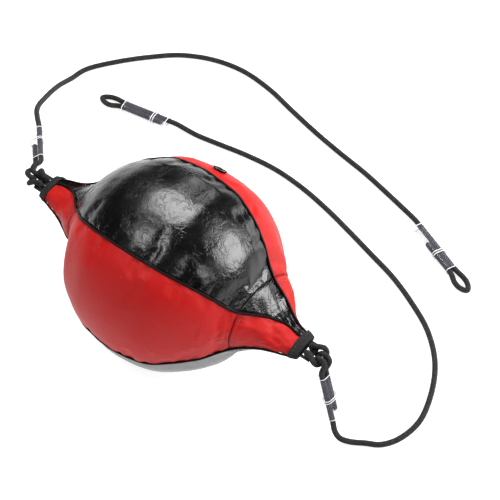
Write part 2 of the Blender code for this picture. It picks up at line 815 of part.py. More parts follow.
def add_sleeve(name, start, stop, side, band_share):
    """A clear sleeve from start to stop, and the band round it."""
    along = (stop - start).normalized()
    length = (stop - start).length
    up = along.cross(side)
    outer = SLEEVE_ROOM + SLEEVE_WALL
    outlines = (stadium(outer), stadium(SLEEVE_ROOM))
    place = frame_matrix(side, up, (start + stop) / 2)
    flat_piece(f"sleeve_{name}", outlines, length, place, "sleeve")
    band_place = frame_matrix(side, up, start.lerp(stop, band_share))
    band_outlines = (stadium(outer + CLEARANCE + BAND_WALL), stadium(outer + CLEARANCE))
    flat_piece(f"band_{name}", band_outlines, BAND_LENGTH, band_place, "band")


def add_sleeves(end):
    """The sleeve beside the ball and the one beside the eye."""
    start, stop = sleeve_ends(end)
    add_sleeve(f"ball_{end.name}", start, stop, side_of((stop - start).normalized()), end.band)
    _, side = eye_frame(end)
    add_sleeve(f"eye_{end.name}", end.eye_at, end.eye_to, side, end.eye_band)


def main():
    """Builds the whole ball with its cords."""
    clear_scene()
    for name in (COLLECTION, "cutters"):
        bpy.context.scene.collection.children.link(bpy.data.collections.new(name))
    add_leather()
    add_piping()
    add_bladder()
    add_eyelet()
    for end in ENDS:
        add_binding(end)
        add_webbing_loop(end)
        add_hitch(end)
        add_run(end)
        add_eye(end)
        add_sleeves(end)


main()
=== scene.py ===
"""The looks of a double-end punching ball: coated leather gores over a bladder, piped seams, bound
mouths with webbing loops, and two braided elastic cords with clear sleeves and eyes.

Metres, +Z up. The origin is on the floor under the middle of the ball, +X runs along the ball's
long axis to its near end, and +Y points to the side where the cords lie.
"""

from __future__ import annotations

import json
import logging
import math
from collections.abc import Callable, Sequence
from dataclasses import dataclass, field
from enum import Enum

import bmesh
import bpy
import numpy as np
from mathutils import Matrix, Vector


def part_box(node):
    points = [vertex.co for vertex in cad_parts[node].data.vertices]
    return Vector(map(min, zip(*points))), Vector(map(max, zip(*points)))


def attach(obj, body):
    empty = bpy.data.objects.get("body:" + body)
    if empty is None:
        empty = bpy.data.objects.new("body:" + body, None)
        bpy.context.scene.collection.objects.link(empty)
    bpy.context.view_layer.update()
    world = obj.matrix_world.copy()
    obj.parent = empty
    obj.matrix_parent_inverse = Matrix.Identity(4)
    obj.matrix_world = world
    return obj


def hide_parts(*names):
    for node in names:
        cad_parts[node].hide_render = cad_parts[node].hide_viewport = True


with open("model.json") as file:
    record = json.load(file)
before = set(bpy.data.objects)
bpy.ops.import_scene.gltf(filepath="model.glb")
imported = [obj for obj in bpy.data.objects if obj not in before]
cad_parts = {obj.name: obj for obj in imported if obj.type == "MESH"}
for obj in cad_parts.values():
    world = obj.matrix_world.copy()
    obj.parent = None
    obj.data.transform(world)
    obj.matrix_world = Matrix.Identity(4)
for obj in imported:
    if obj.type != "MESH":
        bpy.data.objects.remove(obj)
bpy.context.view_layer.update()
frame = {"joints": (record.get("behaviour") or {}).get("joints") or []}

Array = np.ndarray
Color = tuple[float, float, float]
Triple = tuple[float, float, float]

Tree, Node, Outputs = bpy.types.NodeTree, bpy.types.Node, bpy.types.NodeOutputs
Socket = bpy.types.NodeSocket
Material = bpy.types.Material
Piece = bpy.types.Object

MM = 0.001
MOUTH_ROLL = math.radians(10)  # the flat mouths and their webbing, turned about the long axis
LOG = logging.getLogger("punching_ball")


class Leather(Enum):
    """The three coated leathers of the ball, by their material slot."""

    BLACK = "leather_black"
    RED = "leather_red"
    SILVER = "leather_silver"


class Named(Enum):
    """A choice whose value starts with its label."""

    @property
    def label(self) -> str:
        """Its name in the names of its pieces."""
        return self.value[0]


class Gore(Named):
    """The five gores, in order from the first seam, with their leather."""

    BLACK_TOP = ("black_top", Leather.BLACK)
    RED_FRONT = ("red_front", Leather.RED)
    SILVER_FRONT = ("silver_front", Leather.SILVER)
    SILVER_REAR = ("silver_rear", Leather.SILVER)
    RED_BACK = ("red_back", Leather.RED)

    @property
    def leather(self) -> Leather:
        """The leather that the gore is cut from."""
        return self.value[1]

    @property
    def index(self) -> int:
        """Its place in the ring of gores."""
        return list(Gore).index(self)


class EndName(Named):
    """The ball's two ends, with the direction of each along the long axis."""

    NEAR = ("near", 1)
    FAR = ("far", -1)

    @property
    def sign(self) -> int:
        """+1 where the end points along +X."""
        return self.value[1]

    @property
    def body(self) -> str:
        """The moving body that carries this end's cord."""
        return f"{self.label}_cord"


class Graph:
    """Adds shader nodes to one tree and links them."""

    def __init__(self, tree: Tree) -> None:
        """Starts on a tree."""
        self.tree = tree

    def add(self, kind: str, values: dict | None = None, **settings: object) -> Node:
        """One node.

        Args:
            kind: The node's type name.
            values: Its inputs by name or number, each a value or a socket to link from.
            settings: Its other properties.

        Returns:
            The new node.
        """
        node = self.tree.nodes.new(kind)
        node.location = (180 * len(self.tree.nodes), 0)
        for key, value in settings.items():
            setattr(node, key, value)
        for key, value in (values or {}).items():
            self.feed(node.inputs[key], value)
        return node

    def feed(self, socket: Socket, value: object) -> None:
        """Sets a socket or links to it.

        Args:
            socket: The input.
            value: A plain value, or the output socket that feeds it.
        """
        if isinstance(value, Socket):
            self.tree.links.new(value, socket)
        else:
            socket.default_value = value

    def math(self, operation: str, *values: object, clamp: bool = False) -> Socket:
        """A Math node's result."""
        inputs = dict(enumerate(values))
        return self.add("ShaderNodeMath", inputs, operation=operation, use_clamp=clamp).outputs[0]

    def times(self, first: object, second: object) -> Socket:
        """One number or socket times another."""
        return self.math("MULTIPLY", first, second)

    def plus(self, first: object, second: object) -> Socket:
        """The sum of two numbers or sockets."""
        return self.math("ADD", first, second)

    def vector(self, operation: str, *values: object) -> Socket:
        """A Vector Math node's vector result.

        Args:
            operation: The operation's name.
            values: Vectors or sockets. SCALE takes its factor second.

        Returns:
            The result's socket.
        """
        inputs = {0: values[0]}
        if operation == "SCALE":
            inputs["Scale"] = values[1]
        else:
            inputs.update({i: value for i, value in enumerate(values[1:], 1)})
        return self.add("ShaderNodeVectorMath", inputs, operation=operation).outputs[0]

    def noise(self, vector: object, scale: object, detail: float = 2, **more: object) -> Node:
        """A Noise Texture node.

        Args:
            vector: The coordinates.
            scale: Waves per unit.
            detail: Its number of finer layers.
            more: Other inputs, by name with underscores for spaces.

        Returns:
            The node, whose Fac and Color outputs are used.
        """
        values = {"Vector": vector, "Scale": scale, "Detail": detail}
        values.update({key.replace("_", " "): value for key, value in more.items()})
        return self.add("ShaderNodeTexNoise", values)

    def ramp(self, value: object, low: object, high: object, to: tuple = (0.0, 1.0)) -> Socket:
        """Smoothly maps a value from one range to another.

        Args:
            value: The value.
            low: Where the ramp starts.
            high: Where it ends.
            to: The results at its start and end.

        Returns:
            The result's socket.
        """
        inputs = {"Value": value, "From Min": low, "From Max": high, "To Min": to[0], "To Max": to[1]}
        node = self.add("ShaderNodeMapRange", inputs, interpolation_type="SMOOTHSTEP")
        return node.outputs[0]

    def mix(self, factor: object, first: object, second: object) -> Socket:
        """Mixes two colours.

        Args:
            factor: The second one's share.
            first: A colour of three numbers, or a socket.
            second: Another.

        Returns:
            The mixed colour's socket.
        """
        node = self.add("ShaderNodeMix", {0: factor}, data_type="RGBA")
        for slot, value in ((6, first), (7, second)):
            self.feed(node.inputs[slot], (*value, 1) if isinstance(value, tuple) else value)
        return node.outputs[2]


def new_group(name: str, inputs: dict[str, object], outputs: Sequence[str]) -> tuple[Graph, dict, Callable]:
    """Starts a shader node group.

    Args:
        name: The group's name.
        inputs: Each input's starting value, or None for a vector.
        outputs: The names of its outputs, which are all numbers.

    Returns:
        Its graph, its inputs' sockets by name, and a function that feeds one of its outputs.
    """
    tree = bpy.data.node_groups.new(name, "ShaderNodeTree")
    for key, value in inputs.items():
        kind = "NodeSocketVector" if value is None else "NodeSocketFloat"
        socket = tree.interface.new_socket(key, in_out="INPUT", socket_type=kind)
        if value is not None:
            socket.default_value = value
    for key in outputs:
        tree.interface.new_socket(key, in_out="OUTPUT", socket_type="NodeSocketFloat")
    graph = Graph(tree)
    entry = graph.add("NodeGroupInput")
    leave = graph.add("NodeGroupOutput")
    sockets = {key: entry.outputs[key] for key in inputs}
    return graph, sockets, lambda key, value: graph.feed(leave.inputs[key], value)


class SharedEffects:
    """The surface effects that several materials use, each a node group built once."""

    def __init__(self) -> None:
        """Builds every group."""
        self.hide_grain = self.build_hide_grain()
        self.patches = self.build_patches()
        self.weave = self.build_weave()
        self.yarns = self.build_yarns()
        self.specks = self.build_specks()

    @staticmethod
    def build_hide_grain() -> Tree:
        """Small rounded cells split by hair creases, with longer crackles between them.

        Returns:
            The group, whose outputs are the height and the hollow of the creases.
        """
        inputs = {"Vector": None, "Cell Size": 1.2 * MM, "Crackle": 0.5}
        graph, given, leave = new_group("hide_grain", inputs, ("Height", "Hollow"))
        scale = graph.math("DIVIDE", 1.0, given["Cell Size"])
        fine = graph.vector("SCALE", given["Vector"], scale)
        warp = graph.noise(fine, 0.55, 2)
        bent = graph.vector("ADD", fine, graph.vector("SCALE", warp.outputs["Color"], 1.1))
        cells = graph.add("ShaderNodeTexVoronoi", {"Vector": bent, "Scale": 1.0}, feature="DISTANCE_TO_EDGE")
        pebble = graph.ramp(cells.outputs["Distance"], 0.0, 0.42)
        coarse = graph.vector("SCALE", fine, 0.21)
        sway = graph.noise(coarse, 1.3, 3)
        swayed = graph.vector("ADD", coarse, graph.vector("SCALE", sway.outputs["Color"], 1.6))
        cracks = graph.add("ShaderNodeTexVoronoi", {"Vector": swayed, "Scale": 1.0}, feature="DISTANCE_TO_EDGE")
        fold = graph.ramp(cracks.outputs["Distance"], 0.0, 0.16)
        patch = graph.ramp(graph.noise(coarse, 0.5, 2).outputs["Fac"], 0.35, 0.6)
        strength = graph.times(given["Crackle"], patch)
        opened = graph.times(graph.math("SUBTRACT", fold, 1.0), strength)
        swell = graph.times(graph.math("SUBTRACT", sway.outputs["Fac"], 0.5), given["Crackle"])
        height = graph.plus(graph.times(pebble, 0.45), graph.times(opened, 1.2))
        leave("Height", graph.plus(height, graph.times(swell, 2.2)))
        leave("Hollow", graph.math("SUBTRACT", 1.0, graph.times(pebble, fold), clamp=True))
        return graph.tree

    @staticmethod
    def build_patches() -> Tree:
        """Soft patches of uneven colour or gloss.

        Returns:
            The group, whose output is a mask.
        """
        graph, given, leave = new_group("patches", {"Vector": None, "Size": 30 * MM}, ("Mask",))
        scale = graph.math("DIVIDE", 1.0, given["Size"])
        noise = graph.noise(given["Vector"], scale, 4, Roughness=0.6)
        leave("Mask", graph.ramp(noise.outputs["Fac"], 0.32, 0.68))
        return graph.tree

    @staticmethod
    def build_weave() -> Tree:
        """A twill: yarns that pass over two and under two, each row shifted by one.

        Returns:
            The group, whose outputs are the height and a tint for each yarn.
        """
        inputs = {"Vector": None, "Yarn": 0.9 * MM}
        graph, given, leave = new_group("twill_weave", inputs, ("Height", "Tint"))
        scale = graph.math("DIVIDE", 1.0, given["Yarn"])
        place = graph.add("ShaderNodeSeparateXYZ", {0: graph.vector("SCALE", given["Vector"], scale)})
        u, v = place.outputs[0], place.outputs[1]
        row, column = graph.math("FLOOR", v), graph.math("FLOOR", u)
        turn = graph.math("FLOORED_MODULO", graph.plus(row, column), 4.0)
        over = graph.math("LESS_THAN", turn, 1.5)
        arches = [graph.math("SINE", graph.times(graph.math("PINGPONG", t, 0.5), math.pi)) for t in (u, v)]
        weft = graph.times(graph.math("SUBTRACT", 1.0, over), arches[1])
        leave("Height", graph.plus(graph.times(over, arches[0]), weft))
        cell = graph.add("ShaderNodeCombineXYZ", {0: column, 1: row})
        chance = graph.add("ShaderNodeTexWhiteNoise", {"Vector": cell.outputs[0]})
        leave("Tint", chance.outputs["Value"])
        return graph.tree

    @staticmethod
    def build_yarns() -> Tree:
        """The fine yarns on a braided cover, on a map that runs once round the cord.

        Returns:
            The group, whose outputs are the height, a mask of pale flecks painted in as highlights of the yarns'
            glints, and a tint for each plait.
        """
        inputs = {"Vector": None, "Plaits": 8.0}
        graph, given, leave = new_group("braid_yarns", inputs, ("Height", "Fleck", "Tint"))
        place = graph.add("ShaderNodeSeparateXYZ", {0: given["Vector"]})
        around = graph.times(place.outputs[0], given["Plaits"])
        along = graph.times(place.outputs[1], given["Plaits"])
        rising = graph.plus(around, along)
        falling = graph.math("SUBTRACT", around, along)
        cells = graph.plus(graph.math("FLOOR", rising), graph.math("FLOOR", falling))
        over = graph.math("LESS_THAN", graph.math("FLOORED_MODULO", cells, 2.0), 0.5)
        under = graph.math("SUBTRACT", 1.0, over)
        first = graph.math("SINE", graph.times(rising, 4 * math.tau))
        second = graph.math("SINE", graph.times(falling, 4 * math.tau))
        yarn = graph.plus(graph.times(first, over), graph.times(second, under))
        corner = {0: graph.math("FLOOR", rising), 1: graph.math("FLOOR", falling)}
        cell = graph.add("ShaderNodeCombineXYZ", corner)
        chance = graph.add("ShaderNodeTexWhiteNoise", {"Vector": cell.outputs[0]})
        leave("Height", yarn)
        leave("Tint", chance.outputs["Value"])
        # Painted highlight: pale flecks that stand in for the glints of the yarns.
        bright = graph.noise(given["Vector"], 9.0, 3)
        leave("Fleck", graph.ramp(bright.outputs["Fac"], 0.56, 0.68))
        return graph.tree

    @staticmethod
    def build_specks() -> Tree:
        """A few scattered specks of dust and lint.

        Returns:
            The group, whose output is a mask.
        """
        graph, given, leave = new_group("dust_specks", {"Vector": None, "Spacing": 9 * MM}, ("Mask",))
        scale = graph.math("DIVIDE", 1.0, given["Spacing"])
        dots = graph.add("ShaderNodeTexVoronoi", {"Vector": given["Vector"], "Scale": scale})
        near = graph.ramp(dots.outputs["Distance"], 0.05, 0.02)
        leave("Mask", graph.times(near, dots.outputs["Color"]))
        return graph.tree


class Surface(Graph):
    """A new material's graph, with its Principled shader."""

    def __init__(self, name: str, effects: SharedEffects | None = None) -> None:
        """Starts a material.

        Args:
            name: The material's name.
            effects: The shared effects that it may use.
        """
        self.material = bpy.data.materials.new(name)
        self.material.use_nodes = True
        super().__init__(self.material.node_tree)
        self.effects = effects
        self.shader = self.tree.nodes["Principled BSDF"]

    def place(self, kind: str = "Object") -> Socket:
        """Object coordinates in metres, or with "UV" the piece's own map."""
        return self.add("ShaderNodeTexCoord").outputs[kind]

    def effect(self, group: Tree, values: dict) -> Outputs:
        """Places a shared effect.

        Args:
            group: The effect's group.
            values: The values or sockets of its inputs, by name.

        Returns:
            The effect's outputs.
        """
        node = self.add("ShaderNodeGroup", node_tree=group)
        for key, value in values.items():
            self.feed(node.inputs[key], value)
        return node.outputs

    def dress(self, values: dict) -> None:
        """Sets or feeds the shader's inputs, by name."""
        for key, value in values.items():
            self.feed(self.shader.inputs[key], value)

    def bump(self, height: Socket, distance: float) -> None:
        """Feeds the shader's normal with a height, which 1 raises by a distance in metres."""
        bump = self.add("ShaderNodeBump", {"Height": height, "Distance": distance, "Strength": 1})
        self.dress({"Normal": bump.outputs["Normal"]})


@dataclass(frozen=True)
class LeatherFinish:
    """Coated leather. Its pieces carry a "seam" attribute, 1 at a seam and 0 away from it. The colour is darkened in
    the grain's creases and along the seams, as a painted shade.
    """

    color: Color
    # the painted shade: the colour in the grain's creases and next to the seams
    deep: Color
    pale: Color
    roughness: float
    cell: float
    relief: float
    crackle: float
    shine: float
    dust: Color = (0.16, 0.15, 0.14)

    def apply(self, skin: Surface) -> None:
        """Dresses a new material.

        Args:
            skin: The material's graph.
        """
        place, effects = skin.place(), skin.effects
        values = {"Vector": place, "Cell Size": self.cell, "Crackle": self.crackle}
        grain = skin.effect(effects.hide_grain, values)
        patches = skin.effect(effects.patches, {"Vector": place, "Size": 42 * MM})
        specks = skin.effect(effects.specks, {"Vector": place, "Spacing": 11 * MM})
        seam = skin.add("ShaderNodeAttribute", attribute_name="seam").outputs["Fac"]
        # Painted shade: the grain's creases and the leather next to the seams are darkened towards the shade colour.
        hollow = skin.times(grain["Hollow"], 0.35)
        shade = skin.math("ADD", hollow, skin.times(seam, 0.55), clamp=True)
        body = skin.mix(skin.times(patches["Mask"], 0.5), self.color, self.pale)
        rough = skin.ramp(patches["Mask"], 0.0, 1.0, (self.roughness - 0.04, self.roughness + 0.05))
        skin.dress({
            "Base Color": skin.mix(specks["Mask"], skin.mix(shade, body, self.deep), self.dust),
            "Roughness": skin.plus(rough, skin.times(grain["Hollow"], 0.10)),
            "Specular IOR Level": self.shine,
        })
        skin.bump(grain["Height"], self.relief)


@dataclass(frozen=True)
class WovenFinish:
    """Woven tape or webbing, with its yarns along the object's or the map's own axes."""

    color: Color
    pale: Color
    yarn: float
    relief: float
    on_map: bool = False
    roll: float = 0.0

    def apply(self, skin: Surface) -> None:
        """Dresses a new material.

        Args:
            skin: The material's graph.
        """
        place = skin.place("UV" if self.on_map else "Object")
        if self.roll:
            turned = skin.add("ShaderNodeMapping", {"Vector": place, "Rotation": (-self.roll, 0, 0)})
            place = turned.outputs[0]
        weave = skin.effect(skin.effects.weave, {"Vector": place, "Yarn": self.yarn})
        lint = skin.effect(skin.effects.patches, {"Vector": place, "Size": 6 * MM})
        tint = skin.plus(skin.times(weave["Tint"], 0.5), skin.times(lint["Mask"], 0.3))
        skin.dress({
            "Base Color": skin.mix(tint, self.color, self.pale),
            "Roughness": skin.ramp(weave["Height"], 0.0, 1.0, (0.95, 0.62)),
            "Sheen Weight": 0.05,
            "Sheen Roughness": 0.5,
            "Specular IOR Level": 0.25,
        })
        skin.bump(weave["Height"], self.relief)


@dataclass(frozen=True)
class CordFinish:
    """The braided cover of an elastic cord, on a map that runs once round the cord."""

    color: Color = (0.0035, 0.0035, 0.0040)
    # pale: the lighter tint of some plaits, and the flecks painted in as highlights of the yarns' glints
    pale: Color = (0.035, 0.035, 0.038)
    plaits: float = 8.0
    relief: float = 0.07 * MM

    def apply(self, skin: Surface) -> None:
        """Dresses a new material.

        Args:
            skin: The material's graph.
        """
        yarns = skin.effect(skin.effects.yarns, {"Vector": skin.place("UV"), "Plaits": self.plaits})
        painted_glints = skin.times(yarns["Fleck"], 0.7)
        # The pale colour shows in each plait's own tint and in the flecks painted in place of glints, a painted
        # highlight.
        tint = skin.math("ADD", skin.times(yarns["Tint"], 0.45), painted_glints, clamp=True)
        skin.dress({
            "Base Color": skin.mix(tint, self.color, self.pale),
            "Roughness": skin.ramp(yarns["Height"], -1.0, 1.0, (0.8, 0.55)),
            "Sheen Weight": 0.04,
            "Sheen Roughness": 0.45,
            "Specular IOR Level": 0.25,
        })
        skin.bump(yarns["Height"], self.relief)


@dataclass(frozen=True)
class PlainFinish:
    """Rubber, thread, plastic or metal: a base with soft patches, a fine relief and specks."""

    color: Color
    pale: Color
    roughness: float
    relief: float = 0.04 * MM
    metallic: float = 0.0
    gloss: float = 0.0
    shine: float = 0.5
    dust: Color = (0.35, 0.34, 0.33)

    def apply(self, skin: Surface) -> None:
        """Dresses a new material.

        Args:
            skin: The material's graph.
        """
        place, effects = skin.place(), skin.effects
        patches = skin.effect(effects.patches, {"Vector": place, "Size": 4 * MM})
        specks = skin.effect(effects.specks, {"Vector": place, "Spacing": 5 * MM})
        tone = skin.mix(patches["Mask"], self.color, self.pale)
        spread = (max(0.05, self.roughness - 0.07), self.roughness + 0.07)
        skin.dress({
            "Base Color": skin.mix(specks["Mask"], tone, self.dust),
            "Roughness": skin.ramp(patches["Mask"], 0.0, 1.0, spread),
            "Metallic": self.metallic,
            "Specular IOR Level": self.shine,
            "Coat Weight": self.gloss,
            "Coat Roughness": 0.15,
        })
        skin.bump(skin.noise(place, 1 / (0.5 * MM), 3).outputs["Fac"], self.relief)


@dataclass(frozen=True)
class ClearFinish:
    """Soft clear plastic: a thin, slightly milky film over what it holds."""

    color: Color = (0.15, 0.145, 0.18)
    roughness: float = 0.10
    cover: float = 0.11

    def apply(self, skin: Surface) -> None:
        """Dresses a new material.

        Args:
            skin: The material's graph.
        """
        patches = skin.effect(skin.effects.patches, {"Vector": skin.place(), "Size": 7 * MM})
        pale = tuple(1.5 * part for part in self.color)
        spread = (self.roughness - 0.02, self.roughness + 0.02)
        skin.dress({
            "Base Color": skin.mix(patches["Mask"], self.color, pale),
            "Roughness": skin.ramp(patches["Mask"], 0.0, 1.0, spread),
            "Alpha": self.cover,
        })


BLACK_LEATHER = LeatherFinish(
    color=(0.0018, 0.0018, 0.0019), deep=(0.0010, 0.0010, 0.0010), pale=(0.0030, 0.0030, 0.0031),
    roughness=0.15, cell=1.7 * MM, relief=0.085 * MM, crackle=1.0, shine=0.5,
)
RED_LEATHER = LeatherFinish(
    color=(0.470, 0.004, 0.003), deep=(0.210, 0.002, 0.002), pale=(0.520, 0.006, 0.005),
    roughness=0.44, cell=1.0 * MM, relief=0.040 * MM, crackle=0.25, shine=0.25,
)
SILVER_LEATHER = LeatherFinish(
    color=(0.240, 0.235, 0.235), deep=(0.080, 0.080, 0.080), pale=(0.300, 0.295, 0.290),
    roughness=0.36, cell=1.1 * MM, relief=0.045 * MM, crackle=0.4, shine=0.5,
)
BLACK_TAPE = (0.003, 0.003, 0.003)
FINISHES = {
    "leather_black": BLACK_LEATHER,
    "leather_red": RED_LEATHER,
    "leather_silver": SILVER_LEATHER,
    "piping": PlainFinish((0.002, 0.002, 0.002), (0.004, 0.004, 0.004), 0.55, relief=0.05 * MM, shine=0.12),
    "binding_tape": WovenFinish(BLACK_TAPE, (0.012, 0.012, 0.013), 0.8 * MM, 0.10 * MM, on_map=True),
    "webbing": WovenFinish(BLACK_TAPE, (0.014, 0.014, 0.015), 1.1 * MM, 0.20 * MM, roll=MOUTH_ROLL),
    "braid": CordFinish(),
    "rubber": PlainFinish((0.030, 0.026, 0.022), (0.055, 0.048, 0.040), 0.65),
    "clear_plastic": ClearFinish(),
    "milky_plastic": ClearFinish((0.22, 0.22, 0.25), 0.15, 0.18),
    # White rings on the sleeves: a painted highlight of the glints on the clear plastic's edges.
    "white_plastic": PlainFinish((0.86, 0.86, 0.88), (0.75, 0.75, 0.78), 0.25, gloss=0.4),
    "leather_black_thread": PlainFinish((0.012, 0.012, 0.013), (0.035, 0.035, 0.037), 0.55),
    "leather_red_thread": PlainFinish((0.34, 0.010, 0.010), (0.52, 0.045, 0.035), 0.50),
    "leather_silver_thread": PlainFinish((0.20, 0.20, 0.20), (0.30, 0.30, 0.30), 0.55),
    "black_nickel": PlainFinish((0.10, 0.10, 0.105), (0.16, 0.16, 0.165), 0.28, metallic=0.9),
}


def make_materials() -> dict[str, Material]:
    """Builds every material of the object.

    Returns:
        The materials, by the finish's name.
    """
    effects = SharedEffects()
    materials = {}
    for name, finish in FINISHES.items():
        skin = Surface(name, effects)
        finish.apply(skin)
        materials[name] = skin.material
    return materials


def place_piece(
    obj: Piece, material: Material, body: str, replaces: Sequence[str] = ()
) -> Piece:
    """Dresses a finished piece and fastens it to its body.

    Args:
        obj: The piece.
        material: Its material.
        body: The body that it rides on.
        replaces: The CAD nodes that it stands for.

    Returns:
        The piece.
    """
    obj.data.materials.clear()
    obj.data.materials.append(material)
    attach(obj, body)
    if replaces:
        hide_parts(*replaces)
    LOG.info("%s: %d faces on %s", obj.name, len(obj.data.polygons), body)
    return obj


def mesh_piece(
    name: str,
    points: Array,
    faces: Array | list,
    sharp: float = math.radians(50),
    maps: Array | list | None = None,
    seam: Array | None = None,
) -> Piece:
    """An object of a mesh made in code.

    Args:
        name: Its name.
        points: Its points, one row each.
        faces: Each face's point numbers.
        sharp: The angle above which an edge is shaded sharp.
        maps: A map place for each corner of each face, in the same order.
        seam: Closeness to a seam for each point.

    Returns:
        The object, in the scene's collection.
    """
    mesh = bpy.data.meshes.new(name)
    listed = faces.tolist() if isinstance(faces, np.ndarray) else faces
    mesh.from_pydata(np.asarray(points, float).tolist(), [], listed)
    mesh.polygons.foreach_set("use_smooth", [True] * len(mesh.polygons))
    mesh.set_sharp_from_angle(angle=sharp)
    if seam is not None:
        layer = mesh.attributes.new("seam", "FLOAT", "POINT")
        layer.data.foreach_set("value", np.asarray(seam, np.float32).ravel())
    if maps is not None:
        layer = mesh.uv_layers.new(name="map")
        layer.data.foreach_set("uv", np.asarray(maps, np.float32).ravel())
    obj = bpy.data.objects.new(name, mesh)
    bpy.context.scene.collection.objects.link(obj)
    return obj


def grid_faces(rows: int, columns: int, first: int = 0, flip: bool = False) -> Array:
    """The faces of a grid of points.

    Args:
        rows: Its rows.
        columns: Its columns.
        first: The number of its first point.
        flip: Whether the faces turn the other way.

    Returns:
        Four point numbers for each face.
    """
    start = first + np.arange(rows - 1)[:, None] * columns + np.arange(columns - 1)[None, :]
    corners = np.stack([start, start + 1, start + columns + 1, start + columns], axis=-1).reshape(-1, 4)
    return corners[:, ::-1] if flip else corners


def ring_faces(rows: int, columns: int, first: int = 0, closed: bool = False) -> Array:
    """The faces of a stack of rings of points.

    Args:
        rows: The number of rings.
        columns: The points of each ring.
        first: The number of the first point.
        closed: Whether the last ring is joined to the first.

    Returns:
        Four point numbers for each face.
    """
    j, i = np.arange(columns), np.arange(rows if closed else rows - 1)[:, None]
    k, low, high = (j + 1) % columns, first + i * columns, first + (i + 1) % rows * columns
    return np.stack([low + j, low + k, high + k, high + j], axis=-1).reshape(-1, 4)


def ring_maps(around: Array, along: Array) -> Array:
    """The map places for the faces that ring_faces makes.

    Args:
        around: The place at each point of a ring, and once more at its first.
        along: The place at each ring, and once more at the first where the rings close.

    Returns:
        A place for each corner of each face.
    """
    across = np.stack([around[:-1], around[1:], around[1:], around[:-1]], axis=-1)
    down = np.stack([along[:-1], along[:-1], along[1:], along[1:]], axis=-1)
    return np.stack(np.broadcast_arrays(across[None], down[:, None]), axis=-1).reshape(-1, 2)


def travel(line: Array) -> Array:
    """The distance travelled along a line, up to each of its points."""
    steps = np.linalg.norm(np.diff(line, axis=0), axis=-1)
    return np.concatenate([np.zeros((1, *steps.shape[1:])), np.cumsum(steps, axis=0)])


def grid_normals(points: Array) -> Array:
    """Unit normals of a grid of points.

    Args:
        points: The grid, rows by columns by three.

    Returns:
        The normals, in the same form.
    """
    down = np.gradient(points, axis=0)
    across = np.gradient(points, axis=1)
    normals = np.cross(across, down)
    return normals / np.maximum(np.linalg.norm(normals, axis=-1, keepdims=True), 1e-12)


def wobble(points: Array, wavelength: float, seed: int) -> Array:
    """A smooth uneven field, about -1 to 1, made of seeded waves in all directions.

    Args:
        points: Places, with three numbers last.
        wavelength: The size of its lumps.
        seed: Which field it is.

    Returns:
        The field's value at each place.
    """
    waves, chance = 9, np.random.default_rng(seed)
    total = np.zeros(points.shape[:-1])
    for _ in range(waves):
        direction = chance.normal(size=3)
        direction *= chance.uniform(0.7, 1.4) * math.tau / wavelength / np.linalg.norm(direction)
        total += np.sin(points @ direction + chance.uniform(0, math.tau))
    return total / math.sqrt(waves)


def crowd(spans: int) -> Array:
    """Shares from 0 to 1 that lie closer together at both ends."""
    even, amount = np.linspace(0, 1, spans + 1), 0.8
    return even * (1 - amount) + (1 - np.cos(math.pi * even)) / 2 * amount


def finer(grid: Array) -> Array:
    """Doubles a grid's spans in both directions, smoothly.

    Args:
        grid: Rows by columns by anything.

    Returns:
        The finer grid, which holds every point of the given one.
    """
    for axis in (0, 1):
        lines = np.moveaxis(grid, axis, 0)
        padded = np.concatenate([2 * lines[:1] - lines[1:2], lines, 2 * lines[-1:] - lines[-2:-1]])
        middles = (9 * (padded[1:-2] + padded[2:-1]) - padded[:-3] - padded[3:]) / 16
        doubled = np.empty((2 * len(lines) - 1, *lines.shape[1:]))
        doubled[::2], doubled[1::2] = lines, middles
        grid = np.moveaxis(doubled, 0, axis)
    return grid


def deselect_all() -> None:
    """Leaves object mode with nothing selected."""
    if bpy.context.mode != "OBJECT":
        bpy.ops.object.mode_set(mode="OBJECT")
    bpy.ops.object.select_all(action="DESELECT")


def select_in_edit(kind: str, chosen: Callable[[object], bool]) -> None:
    """Selects the active mesh's vertices, edges or faces that pass a test, in edit mode.

    Args:
        kind: "verts", "edges" or "faces".
        chosen: The test.
    """
    bpy.ops.mesh.select_mode(type=kind[:-1].upper())
    bpy.ops.mesh.select_all(action="DESELECT")
    mesh = bmesh.from_edit_mesh(bpy.context.object.data)
    for item in getattr(mesh, kind):
        if chosen(item):
            item.select_set(True)
    mesh.select_flush(True)
    bmesh.update_edit_mesh(bpy.context.object.data)


def start_edit() -> None:
    """Goes into edit mode with everything selected."""
    bpy.ops.object.mode_set(mode="EDIT")
    bpy.ops.mesh.select_all(action="SELECT")


def end_edit() -> Piece:
    """Leaves edit mode and gives back the piece."""
    bpy.ops.object.mode_set(mode="OBJECT")
    return bpy.context.object


def bevel_edges_above(height: float, width: float, segments: int) -> None:
    """Rounds the edges of the piece in edit mode that lie above a height."""
    select_in_edit("edges", lambda edge: all(vertex.co.z > height for vertex in edge.verts))
    bpy.ops.mesh.bevel(offset=width, segments=segments)


def add_wall(obj: Piece, thickness: float, offset: float) -> None:
    """Gives a sheet its wall."""
    wall = obj.modifiers.new("wall", "SOLIDIFY")
    wall.thickness, wall.offset = thickness, offset


def add_rounding(obj: Piece, width: float, segments: int, angle: float) -> None:
    """Rounds the sharp edges of a piece."""
    edges = obj.modifiers.new("edges", "BEVEL")
    edges.width, edges.segments, edges.angle_limit = width, segments, math.radians(angle)


def apply_modifiers(obj: Piece) -> None:
    """Applies every modifier of an object.

    Args:
        obj: The object.
    """
    bpy.context.view_layer.objects.active = obj
    for modifier in list(obj.modifiers):
        bpy.ops.object.modifier_apply(modifier=modifier.name)


